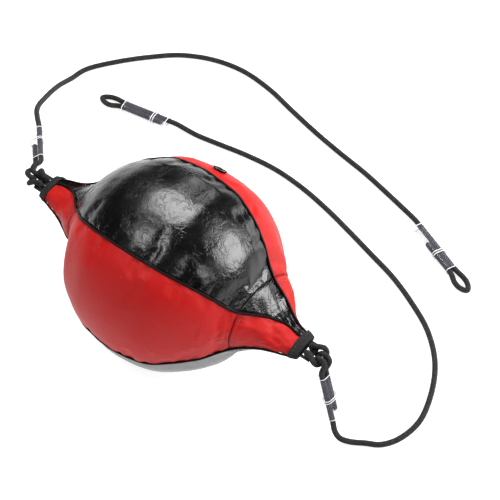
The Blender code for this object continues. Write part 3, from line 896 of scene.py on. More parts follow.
def settle_in_place(obj: Piece, name: str, matrix: Matrix) -> Piece:
    """Names a piece, puts its place in its mesh and shades it.

    Args:
        obj: The object, built about its own origin.
        name: Its name.
        matrix: Where it goes.

    Returns:
        The object, at the origin, unturned and unscaled.
    """
    deselect_all()
    obj.data.transform(matrix @ obj.matrix_world)
    obj.matrix_world = Matrix.Identity(4)
    obj.name = obj.data.name = name
    obj.select_set(True)
    bpy.context.view_layer.objects.active = obj
    bpy.ops.object.shade_smooth_by_angle(angle=math.radians(35))
    deselect_all()
    return obj


def frame_matrix(first: Vector, second: Vector, origin: Vector) -> Matrix:
    """A placing matrix whose X and Y lie along two directions.

    Args:
        first: The direction of X.
        second: The direction of Y.
        origin: Its place.

    Returns:
        The matrix.
    """
    third = first.cross(second)
    turn = Matrix((first, second, third)).transposed().to_4x4()
    return Matrix.Translation(origin) @ turn


# Share of the half length: share of the way from the mouth's half width, and half thickness, to
# the ball's radius.
PROFILE = (
    (0.00, 1.000, 1.000), (0.19, 0.960, 0.964), (0.38, 0.793, 0.814),
    (0.51, 0.603, 0.622), (0.60, 0.379, 0.394), (0.665, 0.253, 0.280),
    (0.73, 0.178, 0.187), (0.82, 0.103, 0.093), (0.92, 0.046, 0.042),
    (1.00, 0.000, 0.000),
)
# Bulges and dents where the stuffed leather folds into its necks: the end, the side of the mouth's
# width, height, middle and reach along the ball.
FOLDS = (
    (1, 1, 12.5 * MM, 110 * MM, 36 * MM),
    (1, 1, 4.2 * MM, 62 * MM, 50 * MM),
    (1, -1, -3.0 * MM, 75 * MM, 30 * MM),
    (-1, 1, 8.0 * MM, 98 * MM, 20 * MM),
    (-1, -1, -14.0 * MM, 88 * MM, 23 * MM),
)
FIRST_SEAM = math.radians(-33.5)
GORE_ANGLE = math.tau / len(Gore)
NECK_GATHER = (96.0 * MM, 142.0 * MM)  # where the black gore starts and ends narrowing
NECK_TURNS = {0: math.radians(-11), 1: math.radians(-48)}  # how far its two seams turn there


@dataclass(frozen=True)
class BallForm:
    """The leather ball's smooth outer face, at any place along it and angle round it."""

    radius: float = 100.5 * MM
    half_length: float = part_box("neck_near_black_top")[1].x
    floor_sink: float = 2.5 * MM
    mouth_half_width: float = 13.5 * MM
    mouth_half_thickness: float = 4.0 * MM
    roll: float = MOUTH_ROLL
    cross_seam: float = 102.0 * MM
    wall: float = 1.5 * MM
    piping_radius: float = 1.05 * MM
    piping_depth: float = 0.55 * MM

    @property
    def height(self) -> float:
        """The long axis above the floor."""
        return self.radius - self.floor_sink

    @property
    def axes(self) -> tuple[Vector, Vector]:
        """The directions along a mouth's width and its thickness."""
        width = Vector((0, math.cos(self.roll), math.sin(self.roll)))
        thick = Vector((0, -math.sin(self.roll), math.cos(self.roll)))
        return width, thick

    @staticmethod
    def share(column: int, place: Array) -> Array:
        """The profile's share in one column.

        Args:
            column: 1 for the width, 2 for the thickness.
            place: Shares of the half length.

        Returns:
            The share at each place.
        """
        table = np.array(PROFILE)
        places, values = table[:, 0], table[:, column]
        secants = np.diff(values) / np.diff(places)
        before, after = secants[:-1], secants[1:]
        inner = np.where(before * after <= 0, 0, 2 * before * after / (before + after))
        tangents = np.concatenate([[0], inner, secants[-1:]])
        span = np.clip(np.searchsorted(places, place, side="right") - 1, 0, len(places) - 2)
        width = places[span + 1] - places[span]
        t = np.clip((place - places[span]) / width, 0, 1)
        start = (1 + 2 * t) * (1 - t) ** 2 * values[span] + t * (1 - t) ** 2 * width * tangents[span]
        stop = t * t * (3 - 2 * t) * values[span + 1] + t * t * (t - 1) * width * tangents[span + 1]
        return start + stop

    def half_sizes(self, x: Array, turn: Array) -> tuple[Array, Array]:
        """Half width and half thickness of the section.

        Args:
            x: Places along the ball.
            turn: Angles from the mouth's thickness.

        Returns:
            Both, at each place.
        """
        place = np.abs(x) / self.half_length
        width = self.mouth_half_width + (self.radius - self.mouth_half_width) * self.share(1, place)
        thick = self.mouth_half_thickness + (self.radius - self.mouth_half_thickness) * self.share(2, place)
        side = -np.sin(turn)
        for end, fold_side, height, middle, reach in FOLDS:
            away = (np.abs(x) - middle) / reach
            held = (x * end > 0) & (side * fold_side > 0) & (np.abs(away) < 1)
            bulge = height * np.cos(math.pi / 2 * np.clip(away, -1, 1)) ** 2
            width = width + np.where(held, bulge, 0) * np.abs(side)
        return width, thick

    def points(self, x: Array, angle: Array, lift: Array | float = 0.0, floor: float = 0.0) -> Array:
        """Points of the ball.

        Args:
            x: Places along the ball.
            angle: Angles from straight up towards -Y, of the same form.
            lift: Height above the leather's face.
            floor: The lowest that a point may be.

        Returns:
            The points, with three numbers last.
        """
        x, angle = np.broadcast_arrays(x, angle)
        turn = angle - self.roll
        width, thick = self.half_sizes(x, turn)
        up, side = (thick + lift) * np.cos(turn), (width + lift) * np.sin(turn)
        y = -math.sin(self.roll) * up - math.cos(self.roll) * side
        z = self.height + math.cos(self.roll) * up - math.sin(self.roll) * side
        return np.stack([x, y, np.maximum(z, floor)], axis=-1)

    def seam_angle(self, index: int, x: Array) -> Array:
        """The angle of a gore's first seam. The black gore is gathered narrow in both necks.

        Args:
            index: The gore's place in the ring.
            x: Places along the ball.

        Returns:
            The angle at each place.
        """
        start, stop = NECK_GATHER
        share = np.clip((np.abs(x) - start) / (stop - start), 0, 1)
        gathered = NECK_TURNS.get(index % len(Gore), 0.0) * share * share * (3 - 2 * share)
        return FIRST_SEAM + GORE_ANGLE * index + gathered

    def seam_margin(self, x: Array, index: int) -> Array:
        """The angle that half the piping takes up beside a gore's first seam.

        Args:
            x: Places along the ball.
            index: The gore's place in the ring.

        Returns:
            The angle at each place.
        """
        turn = self.seam_angle(index, x) - self.roll
        width, thick = self.half_sizes(x, turn)
        per_radian = np.hypot(width * np.cos(turn), thick * np.sin(turn))
        slant = (self.seam_angle(index, x + MM) - self.seam_angle(index, x - MM)) / (2 * MM) * per_radian
        return self.piping_radius * np.hypot(1, slant) / per_radian


@dataclass(frozen=True)
class ClothStep:
    """Lets a sewn-down piece of leather fill out under the bladder's pressure, held at its seams."""

    frames: int = 18
    pressure: float = 2.5
    extra_length: float = 0.012
    stiffness: float = 30.0
    bending: float = 2.5
    cap: float = 3.0 * MM

    def settle(self, points: Array) -> Array:
        """Runs the simulation on a grid of points.

        Args:
            points: The grid at rest, rows by columns by three.

        Returns:
            How far each point has moved, no further than the cap.
        """
        rows, columns = points.shape[:2]
        obj = mesh_piece("cloth_try", points.reshape(-1, 3), grid_faces(rows, columns))
        edge = np.zeros((rows, columns), bool)
        edge[[0, -1], :] = True
        edge[:, [0, -1]] = True
        group = obj.vertex_groups.new(name="sewn")
        group.add(np.flatnonzero(edge.ravel()).tolist(), 1.0, "REPLACE")
        cloth = obj.modifiers.new("fill", "CLOTH")
        settings = cloth.settings
        settings.quality = 6
        settings.mass = 0.25
        settings.tension_stiffness = settings.compression_stiffness = self.stiffness
        settings.shear_stiffness = self.stiffness / 2
        settings.bending_stiffness = self.bending
        settings.vertex_group_mass = "sewn"
        settings.use_pressure = True
        settings.uniform_pressure_force = self.pressure
        settings.shrink_min = -self.extra_length
        settings.effector_weights.gravity = 0
        cloth.collision_settings.use_collision = False
        cloth.point_cache.frame_end = self.frames
        scene = bpy.context.scene
        for step in range(1, self.frames + 1):
            scene.frame_set(step)
        deselect_all()
        bpy.context.view_layer.objects.active = obj
        bpy.ops.object.modifier_apply(modifier=cloth.name)
        moved = np.empty(rows * columns * 3, np.float32)
        obj.data.vertices.foreach_get("co", moved)
        bpy.data.objects.remove(obj)
        scene.frame_set(1)
        shift = moved.reshape(points.shape) - points
        size = np.maximum(np.linalg.norm(shift, axis=-1, keepdims=True), 1e-9)
        return shift * np.minimum(1, self.cap / size)


@dataclass
class LeatherBall:
    """The gores and their neck pieces, sewn along their edges over the bladder."""

    form: BallForm
    materials: dict[str, Material]
    cloth: ClothStep = field(default_factory=ClothStep)
    body_spans: tuple[int, int] = (64, 40)
    neck_spans: tuple[int, int] = (22, 14)
    seam_roll: float = 0.85 * MM
    seam_roll_reach: float = 0.8 * MM
    seam_pull: float = 0.8 * MM
    seam_pull_reach: float = 11.0 * MM
    pucker: float = 0.28 * MM
    pucker_reach: float = 7.0 * MM

    def build(self) -> None:
        """Makes all fifteen pieces."""
        half = self.form.cross_seam
        for gore in Gore:
            body = self.piece(f"leather_{gore.label}", gore, -half, half, self.body_spans)
            if gore is Gore.RED_BACK:
                self.cut_valve_hole(body)
            leather = gore.leather.value
            place_piece(body, self.materials[leather], "ball", [f"panel_{gore.label}"])
            for end in EndName:
                low, high = sorted((end.sign * half, end.sign * self.form.half_length))
                neck = self.piece(f"leather_neck_{end.label}_{gore.label}", gore, low, high, self.neck_spans)
                node = f"neck_{end.label}_{gore.label}"
                place_piece(neck, self.materials[leather], "ball", [node])

    def piece(self, name: str, gore: Gore, low: float, high: float, spans: tuple[int, int]) -> Piece:
        """One piece of leather between two places along the ball.

        Args:
            name: Its name.
            gore: Its gore.
            low: Where it starts.
            high: Where it ends.
            spans: The coarse grid's spans along and across it, which are doubled.

        Returns:
            The piece.
        """
        gap = 0.1 * MM
        x = low + gap + (high - low - 2 * gap) * crowd(2 * spans[0])[:, None]
        first, last = self.form.seam_angle(gore.index, x), self.form.seam_angle(gore.index + 1, x)
        first = first + self.form.seam_margin(x, gore.index)
        last = last - self.form.seam_margin(x, gore.index + 1)
        angle = first + (last - first) * crowd(2 * spans[1])[None, :]
        base = self.form.points(x, angle)
        shift = np.zeros_like(base)
        shift = finer(self.cloth.settle(base[::2, ::2]))
        points = base + shift
        to_seam, to_cross = self.edge_distances(base, x, low, high)
        normals = grid_normals(base)
        lift = self.relief(gore, base, angle, to_seam, to_cross)
        points = points + normals * lift[..., None]
        points[..., 2] = np.maximum(points[..., 2], 0.0)
        inner = points - normals * self.form.wall
        inner[..., 2] = np.maximum(inner[..., 2], self.form.wall)
        # Closeness to a seam, which the leather's material uses to darken its colour there as a painted shade.
        seam = np.exp(-np.minimum(to_seam, to_cross) / (1.6 * MM))
        return self.shell(name, points, inner, seam)

    def edge_distances(self, base: Array, x: Array, low: float, high: float) -> tuple[Array, Array]:
        """How far each point of a piece is from its long seams and from its cross seams.

        Args:
            base: The piece's points.
            x: Their places along the ball.
            low: Where the piece starts.
            high: Where it ends.

        Returns:
            Both distances. An end at a mouth has no cross seam.
        """
        across = travel(base.transpose(1, 0, 2)).T
        to_seam = np.minimum(across, across[:, -1:] - across)
        to_cross = np.full(to_seam.shape, 1.0)
        for edge in (low, high):
            if abs(abs(edge) - self.form.cross_seam) < MM:
                to_cross = np.minimum(to_cross, np.abs(x - edge) * np.ones_like(to_seam) * 1.3)
        return to_seam, to_cross

    def relief(self, gore: Gore, base: Array, angle: Array, to_seam: Array, to_cross: Array) -> Array:
        """Height of the sewn leather over its smooth form.

        Args:
            gore: The gore.
            base: The smooth points.
            angle: Their angles round the ball.
            to_seam: Their distances from the long seams.
            to_cross: Their distances from the cross seams.

        Returns:
            The height at each point.
        """
        near = np.minimum(to_seam, to_cross)
        lift = -self.seam_roll * np.exp(-((near / self.seam_roll_reach) ** 2))
        lift -= self.seam_pull * np.exp(-((to_seam / self.seam_pull_reach) ** 2))
        lift -= 0.5 * self.seam_pull * np.exp(-((to_cross / (6 * MM)) ** 2))
        seed = 10 * gore.index
        tugs = wobble(base * (1, 0.6, 0.6), 11 * MM, seed + 1)
        lift += self.pucker * tugs * np.exp(-near / self.pucker_reach)
        slack = 1.0 if gore.leather is Leather.BLACK else 0.35
        lumps = 0.20 * MM * wobble(base, 34 * MM, seed + 2) + 0.07 * MM * wobble(base, 12 * MM, seed + 3)
        lift += slack * lumps
        return lift + self.neck_creases(gore, base, angle) * np.clip(to_cross / (9 * MM), 0, 1)

    def neck_creases(self, gore: Gore, base: Array, angle: Array) -> Array:
        """The long folds that the leather gathers into between the ball and its mouths.

        Args:
            gore: The gore.
            base: The smooth points.
            angle: Their angles round the ball.

        Returns:
            The height at each point.
        """
        x = base[..., 0]
        half = self.form.half_length
        into = np.clip((np.abs(x) - 0.55 * half) / (0.33 * half), 0, 1)
        fade = into * into * (3 - 2 * into) * np.clip((half - 7 * MM - np.abs(x)) / (9 * MM), 0.15, 1)
        chance = np.random.default_rng(70 + gore.index)
        total = np.zeros_like(x)
        for count, depth in ((9, 0.42 * MM), (16, 0.34 * MM), (27, 0.20 * MM)):
            phase = chance.uniform(0, math.tau)
            drift = chance.uniform(-60, 60)
            sway = chance.uniform(0.6, 1.4) * np.sin(x * chance.uniform(90, 170) + phase)
            wave = np.sin(count * angle + phase + drift * x + sway)
            total += depth * (1 - 2 * np.abs(wave) ** 0.8)
        strength = 1.25 if gore.leather is Leather.BLACK else 0.7
        return strength * total * fade

    @staticmethod
    def shell(name: str, outer: Array, inner: Array, seam: Array) -> Piece:
        """A closed wall between two grids.

        Args:
            name: The piece's name.
            outer: The outer face's points.
            inner: The inner face's points.
            seam: Closeness to a seam at each point of the outer face.

        Returns:
            The piece.
        """
        rows, columns = outer.shape[:2]
        count = rows * columns
        order = np.arange(count).reshape(rows, columns)
        rim = [*order[:, 0].tolist(), *order[-1, 1:].tolist(), *order[-2::-1, -1].tolist(), *order[0, -2:0:-1].tolist()]
        faces = grid_faces(rows, columns).tolist() + grid_faces(rows, columns, count, flip=True).tolist()
        faces += [(b, a, a + count, b + count) for a, b in zip(rim, rim[1:] + rim[:1])]
        points = np.concatenate([outer.reshape(-1, 3), inner.reshape(-1, 3)])
        return mesh_piece(name, points, faces, seam=np.concatenate([seam.ravel(), seam.ravel()]))

    def cut_valve_hole(self, panel: Piece) -> None:
        """Cuts the hole that the valve passes through.

        Args:
            panel: The piece of leather.
        """
        valve = Valve(self.form, self.materials)
        deselect_all()
        bpy.ops.mesh.primitive_cylinder_add(vertices=32, radius=valve.hole_radius, depth=20 * MM)
        cutter = settle_in_place(bpy.context.object, "valve_cutter", valve.matrix(self.form.radius))
        hole = panel.modifiers.new("hole", "BOOLEAN")
        hole.solver = "EXACT"
        hole.object = cutter
        apply_modifiers(panel)
        bpy.data.objects.remove(cutter)


@dataclass
class Piping:
    """The bead of covered cord in each long seam."""

    form: BallForm
    materials: dict[str, Material]
    binding_width: float = 8.0 * MM
    sides: int = 14
    step: float = 1.6 * MM

    def build(self) -> None:
        """Makes the five beads."""
        reach = self.form.half_length - self.binding_width + 2.0 * MM
        gores = list(Gore)
        for gore in gores:
            before = gores[gore.index - 1]
            x = np.linspace(-reach, reach, round(2 * reach / self.step))
            depth = self.form.piping_depth
            angle = self.form.seam_angle(gore.index, x)
            line = self.form.points(x, angle, -depth, self.form.piping_radius)
            line = line + (wobble(line, 13 * MM, gore.index) * 0.12 * MM)[:, None] * np.array((0, 1, 0.3))
            line[:, 2] = np.maximum(line[:, 2], self.form.piping_radius)
            name = f"{before.label}_{gore.label}"
            tube = Tube(line, self.form.piping_radius, self.sides)
            bead = tube.build(f"piping_bead_{name}")
            place_piece(bead, self.materials["piping"], "ball", [f"piping_{name}"])


def smooth_curve(points: Sequence[Vector], steps: int = 24) -> list[Vector]:
    """Closely spaced points on the centripetal Catmull-Rom curve through the given ones.

    Args:
        points: The route's points.
        steps: How many points each span is given.

    Returns:
        The curve's points.
    """
    padded = [points[0] * 2 - points[1], *points, points[-1] * 2 - points[-2]]
    curve = []
    for p0, p1, p2, p3 in zip(padded, padded[1:], padded[2:], padded[3:]):
        t1 = math.sqrt((p1 - p0).length)
        t2 = t1 + math.sqrt((p2 - p1).length)
        t3 = t2 + math.sqrt((p3 - p2).length)
        for step in range(steps):
            t = t1 + (t2 - t1) * step / steps
            a1 = p0.lerp(p1, t / t1)
            a2 = p1.lerp(p2, (t - t1) / (t2 - t1))
            a3 = p2.lerp(p3, (t - t2) / (t3 - t2))
            b1 = a1.lerp(a2, t / t2)
            b2 = a2.lerp(a3, (t - t1) / (t3 - t1))
            curve.append(b1.lerp(b2, (t - t1) / (t2 - t1)))
    curve.append(points[-1])
    return curve


def evenly(curve: Sequence[Vector], step: float) -> Array:
    """Points about a step apart along a curve.

    Args:
        curve: Its closely spaced points.
        step: The distance between the new points.

    Returns:
        The points, one row each.
    """
    line = np.array([tuple(point) for point in curve])
    travelled = travel(line)
    places = np.linspace(0, travelled[-1], max(2, round(travelled[-1] / step) + 1))
    return np.stack([np.interp(places, travelled, line[:, k]) for k in range(3)], axis=1)


@dataclass
class Tube:
    """A round tube along a line, with rounded ends and a map that runs once round it."""

    line: Array
    radius: float | Array
    sides: int = 16
    relief: Callable[[Array, Array], Array] | None = None
    end_round: float = 0.35

    def build(self, name: str) -> Piece:
        """Makes the tube.

        Args:
            name: Its name.

        Returns:
            The piece.
        """
        line = self.line
        radius = np.broadcast_to(self.radius, len(line))
        travelled = travel(line)
        tangents = np.gradient(line, axis=0)
        tangents /= np.linalg.norm(tangents, axis=1, keepdims=True)
        firsts, seconds = self.frames(tangents)
        around = np.linspace(0, 1, self.sides + 1)
        grown = radius[:, None] * np.ones(self.sides + 1)
        if self.relief is not None:
            grown = grown + self.relief(*np.broadcast_arrays(around, travelled[:, None]))
        turn = around * math.tau
        spokes = firsts[:, None] * np.cos(turn)[None, :, None] + seconds[:, None] * np.sin(turn)[None, :, None]
        rings = line[:, None] + spokes * grown[..., None]
        caps, tips = [], []
        for end, way in ((0, -1), (-1, 1)):
            middle, out = line[end], tangents[end] * way * radius[end] * self.end_round
            steps = [(math.cos(t), math.sin(t)) for t in (math.pi / 8, math.pi / 4, 3 * math.pi / 8)]
            caps.append([middle + (rings[end] - middle) * share + out * rise for share, rise in steps])
            tips.append(middle + out)
        stack = np.stack([*caps[0][::-1], *rings, *caps[1]])[:, :-1]
        count, sides = stack.shape[:2]
        lead = np.pad(travelled, 3, mode="edge") / (math.tau * float(np.mean(radius)))
        around = np.arange(sides + 1) / sides
        faces, maps = ring_faces(count, sides).tolist(), [ring_maps(around, lead)]
        for ring, tip, order in ((0, 0, -1), (count - 1, 1, 1)):
            first = ring * sides + np.arange(sides)
            second = ring * sides + (np.arange(sides) + 1) % sides
            fan = (first, second)[::order]
            faces += np.stack([*fan, np.full(sides, count * sides + tip)], axis=-1).tolist()
            maps.append(np.repeat(np.stack([around[:-1], np.full(sides, lead[ring])], axis=-1), 3, axis=0))
        points = np.concatenate([stack.reshape(-1, 3), tips])
        return mesh_piece(name, points, faces, math.radians(75), np.concatenate(maps))

    @staticmethod
    def frames(tangents: Array) -> tuple[Array, Array]:
        """Directions square to the line that turn as little as they can.

        Args:
            tangents: The line's direction at each point.

        Returns:
            Two directions at each point.
        """
        start = np.array((0.0, 0.0, 1.0)) if abs(tangents[0][2]) < 0.9 else np.array((1.0, 0.0, 0.0))
        firsts = [start - tangents[0] * (start @ tangents[0])]
        for tangent in tangents[1:]:
            carried = firsts[-1] - tangent * (firsts[-1] @ tangent)
            firsts.append(carried / np.linalg.norm(carried))
        firsts[0] = firsts[0] / np.linalg.norm(firsts[0])
        first = np.array(firsts)
        return first, np.cross(tangents, first)


@dataclass(frozen=True)
class Braid:
    """The relief of a braided cover: plaits that cross over and under each other."""

    plaits: int = 8
    depth: float = 0.26 * MM
    diameter: float = 5.8 * MM

    def __call__(self, around: Array, along: Array) -> Array:
        """Height over the cord's radius.

        Args:
            around: Share of the way round.
            along: Distance along the cord.

        Returns:
            The height at each place, 0 at a plait's crown.
        """
        pitch = math.pi * self.diameter / self.plaits
        rising = around * self.plaits + along / pitch
        falling = around * self.plaits - along / pitch
        over = (np.floor(rising) + np.floor(falling)) % 2 < 0.5
        a, b = 2 * (rising % 1) - 1, 2 * (falling % 1) - 1
        across, lengthwise = np.where(over, a, b), np.where(over, b, a)
        return -self.depth * (0.75 * across**2 + 0.35 * lengthwise**2)


# The hitch round the webbing's bar, in cord diameters from the bar's middle: outwards, along the
# bar and up. The list runs from the middle of the arc that draws tight to one leg.
HITCH = (
    (1.966, 0.000, -0.500), (1.845, 0.800, -0.420), (1.580, 1.420, 0.020),
    (1.100, 1.500, 0.600), (0.450, 1.120, 0.900), (-0.328, 0.800, 0.830),
    (-0.793, 0.700, 0.448), (-0.879, 0.660, 0.000), (-0.793, 0.630, -0.448),
    (-0.328, 0.600, -0.810), (0.328, 0.570, -0.862), (0.828, 0.560, -0.500),
    (1.017, 0.550, 0.034), (1.362, 0.540, 0.500), (1.931, 0.534, 0.638),
)
LEG_START = (1.931, 0.000, 0.638)
# The eye beyond its sleeve: distance past the sleeve, distance from its axis, height.
EYE = ((6, 4.0, 4.8), (13, 5.6, 3.7), (20, 5.4, 3.1), (26, 2.9, 3.0), (28.5, 0.0, 3.0))


@dataclass(frozen=True)
class Route:
    """The way that one cord goes. Places are in metres, hitch places in cord diameters."""

    end: EndName
    legs: tuple[Triple, ...]
    sleeve_at: Triple
    sleeve_to: Triple
    run_side: int
    stub: float
    band: float
    points: tuple[Triple, ...]
    eye_at: Triple
    eye_to: Triple
    eye_side: int
    eye_stub: float
    eye_band: float


NEAR_ROUTE = Route(
    end=EndName.NEAR,
    legs=((2.420, -0.023, 0.562), (2.800, -0.178, 0.255), (2.950, -0.544, -0.209), (2.860, -0.985, -0.689)),
    sleeve_at=(2.86, -1.05, -1.55),
    sleeve_to=(0.0137, 0, -0.0533),
    run_side=-1,
    stub=0.85,
    band=0.55,
    points=(
        (0.2056, -0.0092, 0.0147), (0.2106, -0.0074, 0.0063), (0.2188, -0.0028, 0.0031),
        (0.2310, 0.0050, 0.0030), (0.2430, 0.0125, 0.0030), (0.2525, 0.0275, 0.0030),
        (0.2565, 0.0560, 0.0030), (0.2460, 0.0920, 0.0030), (0.2270, 0.1250, 0.0030),
        (0.1990, 0.1520, 0.0030), (0.1660, 0.1710, 0.0030), (0.1320, 0.1860, 0.0030),
        (0.0960, 0.1970, 0.0030), (0.0590, 0.2080, 0.0030), (0.0220, 0.2180, 0.0030),
        (-0.0160, 0.2255, 0.0030), (-0.0540, 0.2285, 0.0030), (-0.0900, 0.2255, 0.0030),
        (-0.1270, 0.2190, 0.0030), (-0.1520, 0.2145, 0.0035),
    ),
    eye_at=(-0.1874, 0.2078, 0.0051),
    eye_to=(-0.2417, 0.1985, 0.0051),
    eye_side=-1,
    eye_stub=0.12,
    eye_band=0.30,
)
FAR_ROUTE = Route(
    end=EndName.FAR,
    legs=((2.450, 0.108, 0.611), (2.830, 0.412, 0.496), (3.030, 0.947, 0.300), (3.100, 1.584, 0.056),
          (3.200, 2.201, -0.185), (3.420, 2.768, -0.427)),
    sleeve_at=(-3.74, 3.25, -0.05),
    sleeve_to=(-0.0395, 0.0380, -0.0137),
    run_side=1,
    stub=0.50,
    band=0.60,
    points=(
        (-0.2640, 0.0900, 0.0690), (-0.2900, 0.1280, 0.0420), (-0.3076, 0.1657, 0.0200),
        (-0.3135, 0.1910, 0.0080), (-0.3136, 0.2158, 0.0036), (-0.2950, 0.2470, 0.0030),
        (-0.2720, 0.2750, 0.0030), (-0.2460, 0.3000, 0.0030), (-0.2130, 0.3170, 0.0030),
        (-0.1760, 0.3240, 0.0030), (-0.1350, 0.3200, 0.0030), (-0.0930, 0.3090, 0.0030),
        (-0.0530, 0.2990, 0.0030), (-0.0140, 0.2910, 0.0030), (0.0250, 0.2840, 0.0030),
        (0.0520, 0.2775, 0.0030), (0.0780, 0.2705, 0.0035),
    ),
    eye_at=(0.1133, 0.2554, 0.0051),
    eye_to=(0.1744, 0.2300, 0.0051),
    eye_side=1,
    eye_stub=0.38,
    eye_band=0.62,
)


@dataclass
class Cord:
    """One elastic cord: hitched round the webbing, run across the floor and turned into an eye."""

    route: Route
    form: BallForm
    materials: dict[str, Material]
    diameter: float = 5.8 * MM
    knot_diameter: float = 5.4 * MM
    pair_offset: float = 3.1 * MM
    face_gap: float = 0.3 * MM
    face_step: float = 3.0 * MM
    sleeve_setback: float = 3.0 * MM
    sleeve_length: float = 55.0 * MM
    sides: int = 32
    ring_step: float = 0.57 * MM

    @property
    def bar(self) -> Vector:
        """The middle of the webbing's bar, which the cord's joint turns about."""
        joint = next(j for j in frame["joints"] if j["child"] == self.route.end.body)
        return Vector(joint["pos_m"])

    def hitch_point(self, place: Triple, mirror: int = 1) -> Vector:
        """World place of a point given in cord diameters from the bar.

        Args:
            place: Outwards, along the bar and up.
            mirror: -1 for the other side of the hitch.

        Returns:
            The place in metres.
        """
        out, along, up = (share * self.diameter for share in place)
        width, thick = self.form.axes
        return self.bar + Vector((self.route.end.sign * out, 0, 0)) + width * (along * mirror) + thick * up

    def sleeve_ends(self) -> tuple[Vector, Vector]:
        """Both ends of the axis of the sleeve beside the ball."""
        along = Vector(self.route.sleeve_to).normalized()
        start = self.leg_end() + along * self.sleeve_setback
        return start, start + along * self.sleeve_length

    def leg_end(self) -> Vector:
        """Where the legs of the hitch straighten towards their sleeve."""
        return self.bar + Vector(self.route.sleeve_at) * self.diameter

    def side_of(self, direction: Vector) -> Vector:
        """The direction from one cord of a pair to the other."""
        width, _ = self.form.axes
        return (width - direction * width.dot(direction)).normalized()

    def leg_points(self, side: int, reach: float) -> list[Vector]:
        """One leg from the hitch into the sleeve.

        Args:
            side: Which of the two legs.
            reach: The share of the sleeve that it reaches.

        Returns:
            Its points.
        """
        start, stop = self.sleeve_ends()
        middle = [self.hitch_point(LEG_START)] + [self.hitch_point(leg) for leg in self.route.legs]
        middle += [self.leg_end(), start, start.lerp(stop, reach / 2), start.lerp(stop, reach)]
        points = []
        for i, place in enumerate(middle):
            before, after = middle[max(0, i - 1)], middle[min(len(middle) - 1, i + 1)]
            points.append(place + self.side_of((after - before).normalized()) * (self.pair_offset * side))
        return points[1:]

    def build(self) -> None:
        """Makes the cord's pieces, the run first."""
        label, body = self.route.end.label, self.route.end.body
        hitch, hitch_stub = self.add_hitch()
        eye, eye_stub = self.add_eye()
        pieces = [hitch, eye, hitch_stub, eye_stub, *self.add_sleeves()]
        curve = smooth_curve(self.run_points())
        line = evenly(curve, self.ring_step)
        tube = Tube(line, self.diameter / 2, self.sides, self.braid(), end_round=0.05)
        run = tube.build(f"elastic_run_{label}")
        place_piece(run, self.materials["braid"], body, [f"cord_{label}"])

    def braid(self) -> Braid:
        """The cover's relief."""
        return Braid(diameter=self.diameter)

    def run_points(self) -> list[Vector]:
        """The cord's own route, from the ball's sleeve to the eye's sleeve."""
        start, stop = self.sleeve_ends()
        direction = (stop - start).normalized()
        first = stop + self.side_of(direction) * (self.pair_offset * self.route.run_side)
        first += direction * self.face_gap
        along, side = self.eye_frame()
        last = Vector(self.route.eye_at) + side * (self.pair_offset * self.route.eye_side)
        last -= along * self.face_gap
        lead_in = [first, first + direction * self.face_step, first + direction * self.diameter]
        lead_out = [last - along * self.diameter * 1.5, last - along * self.face_step, last]
        return lead_in + [Vector(point) for point in self.route.points] + lead_out

    def add_hitch(self) -> tuple[Piece, Piece]:
        """The end of the cord, doubled round the webbing's bar and back into the sleeve.

        Returns:
            The hitch, and the rubber core that shows at its cut end.
        """
        label, body = self.route.end.label, self.route.end.body
        ring = [self.hitch_point(place) for place in HITCH]
        mirrored = [self.hitch_point(place, -1) for place in HITCH[:0:-1]]
        runs_plus = self.route.run_side > 0
        plus = self.leg_points(1, 1.0 if runs_plus else self.route.stub)
        minus = self.leg_points(-1, self.route.stub if runs_plus else 1.0)
        curve = smooth_curve(minus[::-1] + mirrored + ring + plus)
        if not runs_plus:
            curve = curve[::-1]
        line = evenly(curve, self.ring_step)
        grow = np.linspace(0, 1, len(line))
        fuller = (self.diameter - self.knot_diameter) / 2
        radius = self.knot_diameter / 2 + fuller * np.clip((grow - 0.8) * 5, 0, 1)
        hitch = Tube(line, radius, self.sides, self.braid()).build(f"elastic_hitch_{label}")
        place_piece(hitch, self.materials["braid"], body, [f"hitch_{label}"])
        core = self.add_core(f"hitch_core_{label}", line[0], line[0] - line[3], self.knot_diameter)
        return hitch, core

    def eye_frame(self) -> tuple[Vector, Vector]:
        """The eye sleeve's direction on the floor and the direction to its side."""
        along = (Vector(self.route.eye_to) - Vector(self.route.eye_at)).normalized()
        return along, Vector((-along.y, along.x, 0))

    def add_eye(self) -> tuple[Piece, Piece]:
        """The cord's far end: through the sleeve, round the eye and back into the sleeve.

        Returns:
            The eye, and the rubber core that shows at its cut end.
        """
        label, body = self.route.end.label, self.route.end.body
        at, to = Vector(self.route.eye_at), Vector(self.route.eye_to)
        along, side = self.eye_frame()
        length, lead = (to - at).length, self.route.eye_side

        def eye_point(place: Triple, hand: int) -> Vector:
            """A point of the eye on one side of its axis."""
            forward, across, up = (value * MM for value in place)
            point = to + along * forward + side * (across * hand)
            point.z = max(up, self.diameter / 2) if up < at.z else at.z
            return point

        points = [at + side * (self.pair_offset * lead) + along * (length * share) for share in (0, 0.5, 1)]
        points += [eye_point(place, lead) for place in EYE]
        points += [eye_point(place, -lead) for place in EYE[-2::-1]]
        back = (1, (1 + self.route.eye_stub) / 2, self.route.eye_stub)
        points += [at - side * (self.pair_offset * lead) + along * (length * share) for share in back]
        line = evenly(smooth_curve(points), self.ring_step)
        eye = Tube(line, self.diameter / 2, self.sides, self.braid()).build(f"elastic_eye_{label}")
        place_piece(eye, self.materials["braid"], body, [f"eye_{label}"])
        core = self.add_core(f"eye_core_{label}", line[-1], line[-1] - line[-4], self.diameter)
        return eye, core

